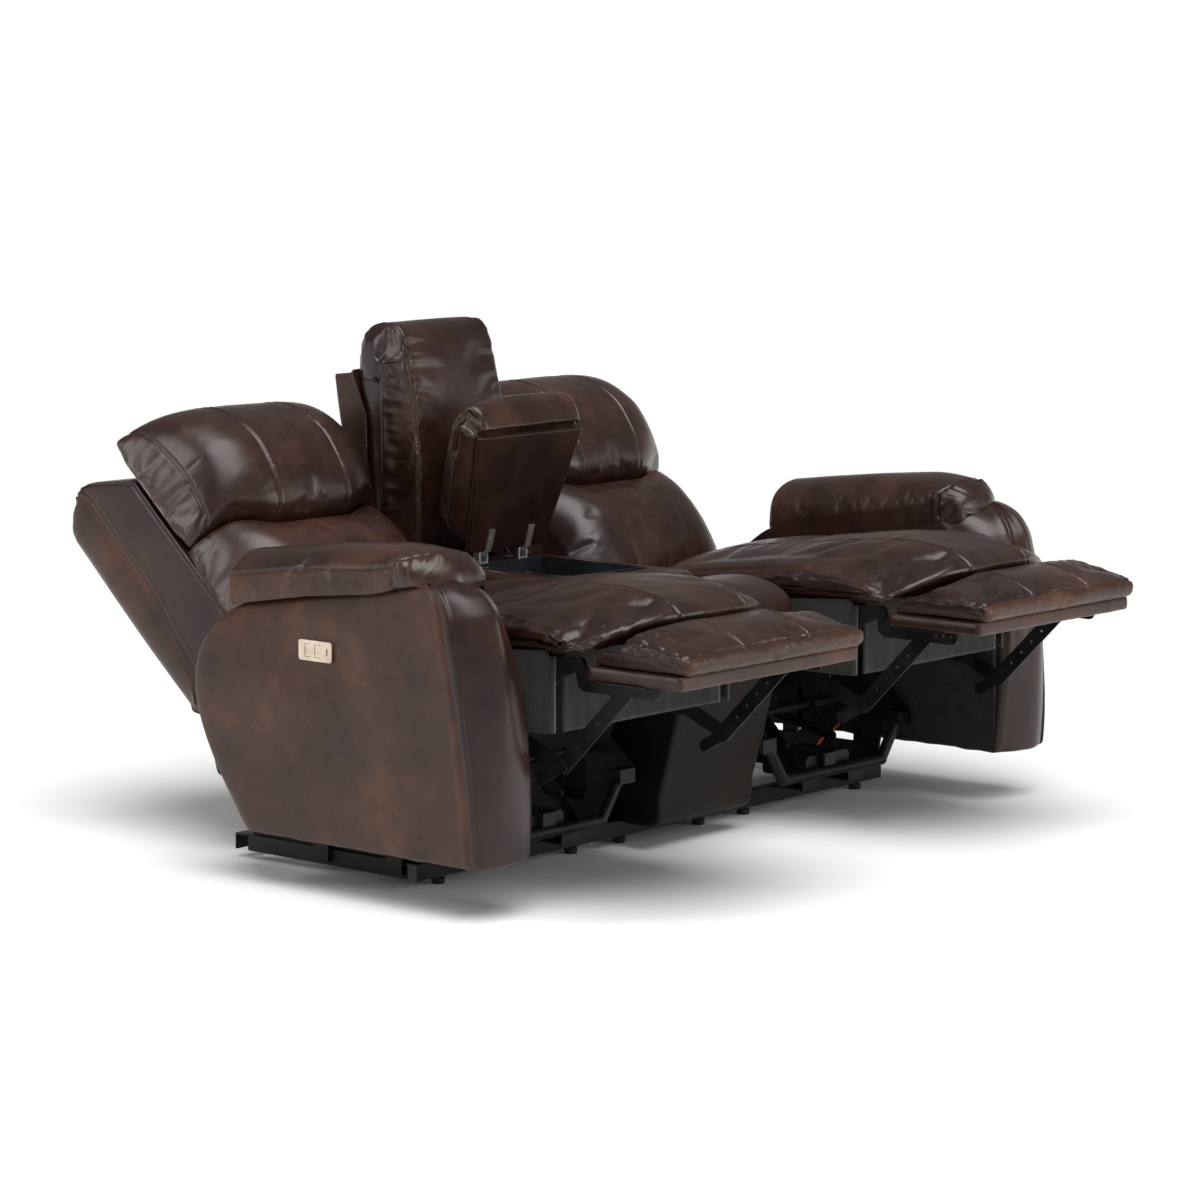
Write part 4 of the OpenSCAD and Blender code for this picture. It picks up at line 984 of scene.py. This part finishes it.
def arm_pad_ring(y, rise, d, k):
    i, o = ARM_IN - 1.5, ARM_OUT + 1
    low = -46 - 10 * (y > 0)
    wave = 2.5 * math.sin(y / 70)
    drop = 1 - 0.36 * np.clip((-70 - y) / 140, 0, 1) ** 1.6
    top = (81 + 0.06 * y) / 85 * rise * drop
    seam = (44 + 0.05 * y + wave) * rise
    hem = -3 - 9 * min(max((100 - y) / 160, 0), 1)
    over = [(i + 2, low), (i - 1, -12), (i - 1, 26 * rise), (i + 8, 52 * top), (i + 34, 74 * top),
            (i + 84, 85 * top), (i + 130, 82 * top), (i + 162, seam + 17 * top), (o - 1, seam)]
    under = [(o + 4, (seam + hem) / 2), (o + 1, hem + 4), (o - 10, hem + 1), (o - 60, -3), (i + 44, -3),
             (i + 9, -12), (i + 8, low)]
    q = shrunk(stepped(over + under, PAD_STEPS), d, k)
    share = np.clip((q[:, 0] - i) / (o - i), 0, 1)
    forward = np.clip((-40 - y) / (-40 - PAD_SEAM), 0, 1) ** 2
    bent = 52 * np.clip((share - 0.5) / 0.5, 0, 1) ** 2 + 24 * np.clip((0.4 - share) / 0.4, 0, 1) ** 2
    return np.column_stack([q[:, 0], np.full(len(q), y) + bent * forward, arm_top(y) + q[:, 1]])


def arm_pad_plan():
    """The pad's rings as (depth, rise, drawn in, share of the cap), and where its two seams are."""
    rear = PAD_REAR + 12
    plan = [(rear, 1, 20, k) for k in CAPS[::-1]]
    for a in np.linspace(0, math.pi / 2, 5):
        plan.append((PAD_REAR + 12 * math.cos(a), 1, 20 * (1 - math.sin(a)), 0))
    seams = [len(plan) - 2]
    plan += [(y, 1, 0, 0) for y in np.linspace(PAD_REAR, PAD_SEAM, 58)[1:]]
    seams.append(len(plan) - 1)
    for a in np.linspace(0, math.pi / 2, 12)[1:]:
        y = PAD_SEAM + (PAD_NOSE - PAD_SEAM) * math.sin(a)
        plan.append((y, 0.1 + 0.9 * math.cos(a) ** 1.3, 12 * (1 - math.cos(a)), 0))
    return plan + [(PAD_NOSE - 1, 0.1, 12, k) for k in CAPS], seams


def arm_pads():
    plan, seams = arm_pad_plan()
    v = np.array([arm_pad_ring(*row) for row in plan])
    pins = np.zeros(v.shape[:2])
    pins[:, sum(PAD_STEPS[:10]):] = 1
    pins[:, :8] = 1
    pins[:3] = pins[-3:] = 1
    v = doubled(puff(v, pins, 9.0))
    rear, front = (2 * r for r in seams)
    top = (0.04, OUTER_SEAM + 0.16)
    found = [ring_seam(front, *top, 6.0, 1), ring_seam(rear, *top, 1.2),
             row_seam(OUTER_SEAM, rear, front, 1.6)]
    border = [(SIDE, (rear, front), (OUTER_SEAM, OUTER_SEAM + 0.15))]
    for side, name in SIDES:
        loft(name + "arm_cushion", name + "arm_pad", ROOT, v * (side, 1, 1), CUSHION, "cushion_leather",
             found, 53 + side, (150, 0.8), sewing={"reach": 26.0, "pitch": 12.0}, painted=border, side=side)


arm_pads()

# Middle back, whose foot is at B and whose front meets the rounded top at RIM
SLOPE = math.tan(math.radians(9.9))


def middle_front(z):
    return 734 - (939 - z) * SLOPE


TOP = span("middle_back_pillow")[1][2] * 1000
CONSOLE_Z = 540
B = CONSOLE_Z + 8
RIM = middle_front(TOP - 111)
MIDDLE = [(middle_front(B + 20) - 8, B + 4), (middle_front(TOP - 310) - 0.4, TOP - 310), (RIM - 3, TOP - 120),
          (RIM - 7, TOP - 55), (RIM - 28, TOP - 14), (RIM - 74, TOP), (RIM - 120, TOP - 9),
          (RIM - 146, TOP - 64), (RIM - 172, TOP - 180), (RIM - 181, TOP - 340), (RIM - 164, B + 6)]
CONSOLE_HALF = 160.0
MIDDLE_SEAM = CONSOLE_HALF - 24
SHELL = [(middle_front(90), 90), (middle_front(90) + 30, 88), (middle_front(90) + 55, 92),
         (middle_front(300) + 57, 300), (middle_front(500) + 57, 500), (middle_front(700) + 57, 700),
         (middle_front(929) + 56, 915), (middle_front(929) + 48, 930), (middle_front(939) + 8, 938),
         (middle_front(939), 932), (middle_front(700), 700), (middle_front(500), 500),
         (middle_front(300), 300)]


def middle_place(x, q):
    y, z = q.T
    return with_x(x, np.where(z < TOP - 100, np.minimum(y, middle_front(z) - 0.3), y), z)


def middle_seams(outline, rows, where):
    a, b = near(outline, (RIM - 7, TOP - 55)), near(outline, (RIM - 164, B + 6))
    return ring_pair(rows, where, MIDDLE_SEAM, a, b, 3.0)


def middle_pins(outline, rows):
    y, z = outline.T
    return held((z < B + 12) | ((z < TOP - 110) & (y > middle_front(z) - 14)), rows, (MIDDLE_SEAM,))


soft("middle_pillow", "middle_back_pillow", ROOT, CUSHION, "cushion_leather", MIDDLE, CONSOLE_HALF - 1, 24,
     20, middle_place, middle_seams, 61, count=120, both=False, pins=middle_pins, cap=7.0, seam_xs=(135,),
     sewing={"reach": 26.0, "pitch": 22.0})
soft("middle_shell", "middle_back_shell", ROOT, SIDE, "side_leather", SHELL, CONSOLE_HALF, 10, 9, with_x,
     None, 67, count=120, both=False, fill=None, crown=2.0)

# Console: its padded nose, its sides and the surround of its bin
CONSOLE_FRONT = [(-112, 52), (-130, 120), (-150, 190), (-172, 270), (-190, 337), (-204, 390), (-220, 440),
                 (-229, 478), (-220, 510), (-182, 532), (-120, 543), (-60, 541), (-10, 531), (22, 520),
                 (60, 519), (136, 519), (140, 500), (140, 300), (140, 100), (136, 52), (10, 50)]
CONSOLE_SIDE = [(142, 54), (142, 280), (142, 516), (240, 519), (400, 519), (middle_front(519) - 4, 516),
                (middle_front(280), 280), (middle_front(54), 54), (400, 50), (240, 50)]
NOSE_LOW = (-214, 425)


def nose_bands(outline, rows, where):
    return [(CUSHION, (0, LAST), (near(outline, (60, 519)), near(outline, NOSE_LOW)))]


def nose_seams(outline, rows, where):
    return [row_seam(near(outline, NOSE_LOW), *ends_at(rows, where, CONSOLE_HALF - 10), 1.2)]


# The console's front and sides are in the near-black leather, which holds painted shade; the nose's upper band is
# cushion leather
soft("console_front", "console_box", ROOT, DARK, "side_leather", CONSOLE_FRONT, CONSOLE_HALF, 10, 9, with_x,
     nose_seams, 71, count=130, both=False, fill=None, crown=2.0, crease=(90, 1.6), painted=nose_bands)
for name, x in (("left", 22 - CONSOLE_HALF), ("right", CONSOLE_HALF - 22)):
    soft("console_side_" + name, None, ROOT, DARK, "side_leather", CONSOLE_SIDE, 21, 6, 5,
         lambda across, q, x=x: with_x(across + x, q), None, 73, count=110, both=False, fill=None, crown=2.0,
         crease=None)

BIN_HALF, BIN_Y = 116.4, (145.6, 431.4)
SURROUND_Y = (28, 540)
# The surround from the bin's rim to the box's edge, as (share of the way, height by the console's top)
SURROUND = [(0, -20), (0, -4), (0.06, -1.2), (0.2, 0), (0.5, 1.5), (0.75, 0), (0.9, -3), (0.97, -8), (1, -14),
            (0.98, -19), (0.6, -20), (0.3, -20)]


def rounded_box(x, y0, y1, r, n=40):
    """A rectangle in plan with round corners, as points."""
    corners = ((x - r, y1 - r), (-x + r, y1 - r), (-x + r, y0 + r), (x - r, y0 + r))
    arcs = []
    for k, (cx, cy) in enumerate(corners):
        a = math.pi / 2 * k + np.linspace(0, math.pi / 2, 9)
        arcs.append(np.column_stack([cx + r * np.cos(a), cy + r * np.sin(a)]))
    out = []
    for arc, following in zip(arcs, arcs[1:] + arcs[:1]):
        a, b = arc[-1], following[0]
        out += [*arc, *(a + (b - a) * t for t in np.linspace(0, 1, n)[1:-1])]
    return np.array(out)


def surround():
    inner = rounded_box(BIN_HALF, *BIN_Y, 6)
    outer = rounded_box(CONSOLE_HALF, *SURROUND_Y, 18)
    rows = [np.column_stack([inner + (outer - inner) * share, np.full(len(inner), CONSOLE_Z + height)])
            for share, height in SURROUND]
    v = spline_at(np.array(rows), np.arange(len(rows) * 3) / 3, 0, True)
    v[..., 2] = np.maximum(v[..., 2], CONSOLE_Z - 20)
    v[..., 2] += 0.7 * noise(v, 60, 77) * (v[..., 2] > CONSOLE_Z - 10)
    m, n = v.shape[:2]
    faces = [[corner % (m * n) for corner in face] for face in grid_faces(m + 1, n)]
    o = make("console_rim", room(v.reshape(-1, 3)), faces, CUSHION)
    dress(o, ROOT, ["console_surround"], "cushion_leather")


surround()

# Lid, as (depth, height) along it. Its pad lies on the panel at SEAT_ON and is LH high
LID_L, LID_H = 338.0, 118.0
REAR_W, FRONT_W, PANEL_L = 244.0, 334.0, 272.0
NARROW = REAR_W / FRONT_W
SEAT_ON = -17 + 0.9 + 12
LH = LID_H - 17
LID_PAD = [(SEAT_ON, 30), (SEAT_ON, 150), (SEAT_ON, PANEL_L + 4), (SEAT_ON - 12, PANEL_L + 24),
           (SEAT_ON + 12, LID_L - 4), (LH * 0.45, LID_L), (LH * 0.77, LID_L - 34), (LH * 0.92, LID_L - 110),
           (LH, 100), (LH * 0.86, 46), (LH * 0.4, 26)]
LID_PANEL = [(-16.3, 18), (-16.3, 90), (-16.3, 180), (-16.3, PANEL_L - 4), (-13, PANEL_L), (-7, PANEL_L),
             (-4.3, PANEL_L - 4), (-4.3, 180), (-4.3, 90), (-4.3, 18), (-7, 14), (-13, 14)]


def on_lid(x, q):
    """A ring of the lid, which is narrower at its hinges, leant back as the open lid is."""
    wide = NARROW + (1 - NARROW) * np.minimum(1, q[:, 1] / PANEL_L)
    return lean(with_x(x * wide, q), LID, -LEAN)


def lid_place(x, q):
    y = np.where(q[:, 1] > PANEL_L + 3, q[:, 0], np.maximum(q[:, 0], SEAT_ON))
    return on_lid(x, np.column_stack([y, q[:, 1]]))


def lid_seams(outline, rows, where):
    low, high = sorted((near(outline, (LH * 0.4, 26)), near(outline, (SEAT_ON, PANEL_L + 4))))
    return ring_pair(rows, where, FRONT_W / 2 - 8, high, low, 1.6)


def lid_pins(outline, rows):
    return held((outline[:, 0] < SEAT_ON + 3) & (outline[:, 1] < PANEL_L + 6), rows)


soft("lid_cushion", "lid_pad", "lid", CUSHION, "cushion_leather", LID_PAD, FRONT_W / 2 + 4, 22, 16, lid_place,
     lid_seams, 83, count=120, both=False, pins=lid_pins, cap=9.0, crown=5)
# The lid's underside panel is all painted shade, in the darker leather
soft("lid_underside", "lid_panel", "lid", SHADED, "cushion_leather", LID_PANEL, FRONT_W / 2, 5, 3, on_lid,
     None, 89, count=120, both=False, fill=None, crown=1.0, crease=(70, 0.5))

# Back shells, as rings up the back: a band of painted shade beside the pillow, then the side and the rear
SHELL_HALF = 274.0
SHELL_FRONT = [(66, -20), (84, -45), (300, -45), (546, -45), (560, -38), (604, 14), (636, 52), (648, 78)]
SHELL_BACK = [(66, 100), (80, 144), (96, 176), (112, 188), (300, 189), (590, 189), (612, 183), (632, 158),
              (648, 112)]
SHELL_SEAM = [(66, 96), (80, 140), (118, 160), (160, 116), (361, 84), (600, 78), (648, 90)]
SHELL_STEPS = [10, 10, 3, 6, 6, 5, 3, 3, 9, 9, 9, 9, 3, 3, 5, 6, 6, 3, 10, 10, 10, 10]


def table(at, pairs):
    return float(np.interp(at, [p[0] for p in pairs], [p[1] for p in pairs]))


def shell_ring(u, k):
    f, r = table(u, SHELL_FRONT), table(u, SHELL_BACK)
    s = min(max(table(u, SHELL_SEAM), f + 5), r - 3)
    h = SHELL_HALF - 5 * (1 - math.sin(math.pi * (u - 66) / 586)) * 0.6
    c = min(9, (r - f) / 4)
    e = min(26, (r - s) * 0.6)
    right = [(0, f), (h * 0.5, f), (h - c, f), (h, f + c), (h + 2, (s + f + c) / 2), (h, s),
             (h + 3, (s + r - e) / 2), (h, r - e), (h - e * 0.3, r - e * 0.3), (h - e, r), (h * 0.5, r + 2)]
    points = right + [(0, r + 3)] + [(-x, d) for x, d in right[:0:-1]]
    q = shrunk(stepped(points, SHELL_STEPS), 0, k)
    return lean(np.column_stack([q, np.full(len(q), u)]), BACK, TILT)


def shells():
    us = [*np.linspace(66, 120, 10), *np.linspace(120, 540, 36)[1:], *np.linspace(540, 648, 20)[1:]]
    plan = [(66, k) for k in CAPS[::-1]] + [(u, 0) for u in us] + [(648, k) for k in CAPS]
    v = doubled(np.array([shell_ring(*row) for row in plan]))
    first, last = 2 * len(CAPS), 2 * (len(CAPS) + len(us) - 1)
    side, edge = (sum(SHELL_STEPS[:k]) / sum(SHELL_STEPS) for k in (5, 3))
    found = [row_seam(at, first + 6, last - 2, 0.9) for at in (side, 1 - side)]
    found += [row_seam(at, first + 10, last - 34, 0.9) for at in (edge, 1 - edge)]
    for s, name in SIDES:
        g = v * (s, 1, 1) + (s * SEAT_X, 0, 0)
        # The front face and the band beside the pillow carry painted shade
        loft(name + "back_cover", name + "back_shell", name + "back", g, SIDE, "side_leather", found, 97 + s,
             (190, 1.8), painted=[(SHADED, (0, LAST), (1 - side, side))], side=s)


shells()


def cloth_sheet(name, grid, thick, material):
    """A sheet with two faces and a rim, from its middle surface, and its flat size in metres."""
    m, n = grid.shape[:2]
    out = np.cross(np.gradient(grid, axis=0), np.gradient(grid, axis=1))
    out /= np.linalg.norm(out, axis=2, keepdims=True)
    verts = np.concatenate([(grid + out * thick / 2).reshape(-1, 3), (grid - out * thick / 2).reshape(-1, 3)])
    k = np.arange(m * n).reshape(m, n)
    top = np.stack([k[:-1, :-1], k[1:, :-1], k[1:, 1:], k[:-1, 1:]], -1).reshape(-1, 4)
    rim = np.concatenate([k[:-1, 0], k[-1, :-1], k[:0:-1, -1], k[0, :0:-1]])
    after = np.roll(rim, -1)
    edge = np.stack([rim, rim + m * n, after + m * n, after], -1)
    faces = np.concatenate([top, top[:, ::-1] + m * n, edge]).tolist()
    size = [float(np.linalg.norm(np.diff(grid, axis=a), axis=2).sum(a).mean()) / 1000 for a in (0, 1)]
    return make(name, room(verts), faces, material), size


# Aprons of felt, hung from the seat's edge: two skirts that turn the front corner, and a front drop between
# the links
SKIRT_X, DROP_Y, APRON_LOW = 281.0, -350.5, 347.0
LINK_SLOT = (240.0, 262.0)
SKIRT = [(SKIRT_X, 238), (SKIRT_X, -330), (SKIRT_X - 2, -342), (SKIRT_X - 9, DROP_Y), (LINK_SLOT[1], DROP_Y)]
APRONS = (("skirt_inner", [(-x, y) for x, y in SKIRT], (1, 0, 0)), ("skirt_outer", SKIRT, (-1, 0, 0)),
          ("drop", [(-LINK_SLOT[0], DROP_Y), (LINK_SLOT[0], DROP_Y)], (0, 1, 0)))


def apron(name, side):
    rise = np.linspace(0, 1, 16)
    for k, (label, line, away) in enumerate(APRONS):
        line = np.array(line, float)
        s = travelled(line)
        plan = line_at(line, s, np.linspace(0, s[-1], int(s[-1] / 7)))
        top = seat_floor(plan[:, 1]) + np.where(np.abs(plan[:, 0]) > 278, 12, -1.4)
        grid = np.empty((len(plan), len(rise), 3))
        grid[..., :2] = plan[:, None]
        grid[..., 2] = APRON_LOW + (top - APRON_LOW)[:, None] * rise
        wave = noise(grid * (1, 1, 0.12), 26, 131 + k) + 0.6 * noise(grid * (1, 1, 0.2), 11, 151 + k)
        grid += np.array(away) * (1.5 * wave * (1 - rise**4))[..., None] + (side * SEAT_X, 0, 0)
        grid = grid[::-1] if label == "skirt_inner" else grid
        o, size = cloth_sheet(name + "apron_" + label, grid, 2.0, FELT)
        dress(o, name + "seat", [name + "apron"], "felt")


# Dust flaps below the back shells
FLAP_HALF = 258.0
FLAP = np.array([(171, 88), (200, 44), (226, 0), (233, -16), (226, -28), (196, -44), (158, -66)], float)


def back_flap(name, side):
    path = spline_at(FLAP[:, None, :], np.linspace(0, len(FLAP) - 1, 40), 0, False)[:, 0]
    grid = np.zeros((60, len(path), 3))
    grid[..., 0] = np.linspace(-FLAP_HALF, FLAP_HALF, 60)[:, None]
    grid[..., 2] = path[:, 1]
    sag = 1.6 * noise(grid * (1, 1, 0.2), 60, 171)
    grid[..., 1] = path[:, 0] + sag * 0.6
    grid[..., 2] += sag
    grid = lean(grid, BACK, TILT) + (side * SEAT_X, 0, 0)
    o, size = cloth_sheet(name + "dust_flap", grid, 2.4, CLOTH)
    dress(o, name + "back", [name + "back_flap"], "black_cloth")


for side, name in SIDES:
    apron(name, side)
    back_flap(name, side)

# Floor, light and camera
scene = bpy.context.scene


def pale_floor():
    pale, tree, s = shader("floor_pale", (0.92, 0.92, 0.92), 0.9)
    tone = add(tree, "ShaderNodeTexNoise", {"Scale": 3.0}).outputs["Fac"]
    tree.links.new(ramp(tree, tone, [(0, 0.92), (1, 0.925)]), s.inputs["Base Color"])
    corners = [(-30, -30, 0), (30, -30, 0), (30, 30, 0), (-30, 30, 0)]
    floor = make("floor", corners, [[0, 1, 2, 3]], pale, False)


def studio_sky():
    """White up to a little above the horizon, and grey higher up, so that the leather shines only in part."""
    world = bpy.data.worlds.new("studio")
    scene.world = world
    world.use_nodes = True
    sky = world.node_tree
    heights = add(sky, "ShaderNodeSeparateXYZ")
    sky.links.new(add(sky, "ShaderNodeTexCoord").outputs["Generated"], heights.inputs[0])
    share = add(sky, "ShaderNodeMath", {1: 0.5, 2: 0.5}, operation="MULTIPLY_ADD")
    sky.links.new(heights.outputs["Z"], share.inputs[0])
    glow = ramp(sky, share.outputs[0], [(0.535, (1, 1, 1)), (0.60, (0.2, 0.2, 0.2))])
    background = sky.nodes["Background"]
    sky.links.new(glow, background.inputs["Color"])
    background.inputs["Strength"].default_value = 1.08


def lamp(name, at, to, size, power):
    light = bpy.data.lights.new(name, "AREA")
    light.shape = "RECTANGLE"
    light.size, light.size_y = size
    light.energy = power
    o = bpy.data.objects.new(name, light)
    scene.collection.objects.link(o)
    o.location = at
    o.rotation_euler = (Vector(to) - Vector(at)).to_track_quat("-Z", "Y").to_euler()


def sun():
    light = bpy.data.lights.new("above", "SUN")
    light.energy = 3.15
    light.angle = math.radians(50)
    o = bpy.data.objects.new("above", light)
    scene.collection.objects.link(o)
    o.rotation_euler = (math.radians(20), math.radians(-12), 0)


# The photograph's camera: where it is, where it looks and its own level, its roll, and its focal length
EYE = (-6.575, -5.365 + RAIL_Y, 1.657)
LOOK, LEVEL, ROLL = (0.7582, 0.6377, -0.1357), (0.6437, -0.7653, 0), 0.00478
FOCAL_PIXELS, PHOTO_PIXELS = 4096.84, 1200


def photo_camera():
    camera = bpy.data.cameras.new("camera")
    camera.sensor_width = 36
    camera.lens = 36 * FOCAL_PIXELS / PHOTO_PIXELS
    eye = bpy.data.objects.new("camera", camera)
    scene.collection.objects.link(eye)
    look, level = Vector(LOOK).normalized(), Vector(LEVEL).normalized()
    up = level.cross(look)
    turn = Matrix((level + up * ROLL, up - level * ROLL, -look)).transposed().to_4x4()
    turn.translation = Vector(EYE)
    eye.matrix_world = turn
    scene.camera = eye


pale_floor()
studio_sky()
lamp("front right", (1.9, -4.6, 1.5), (0.4, 0, 0.4), (0.7, 2.6), 55)
lamp("rear left", (-3.6, 1.6, 2.4), (-0.6, 0.2, 0.6), (0.8, 2.2), 40)
sun()
photo_camera()
scene.view_settings.view_transform = "Standard"
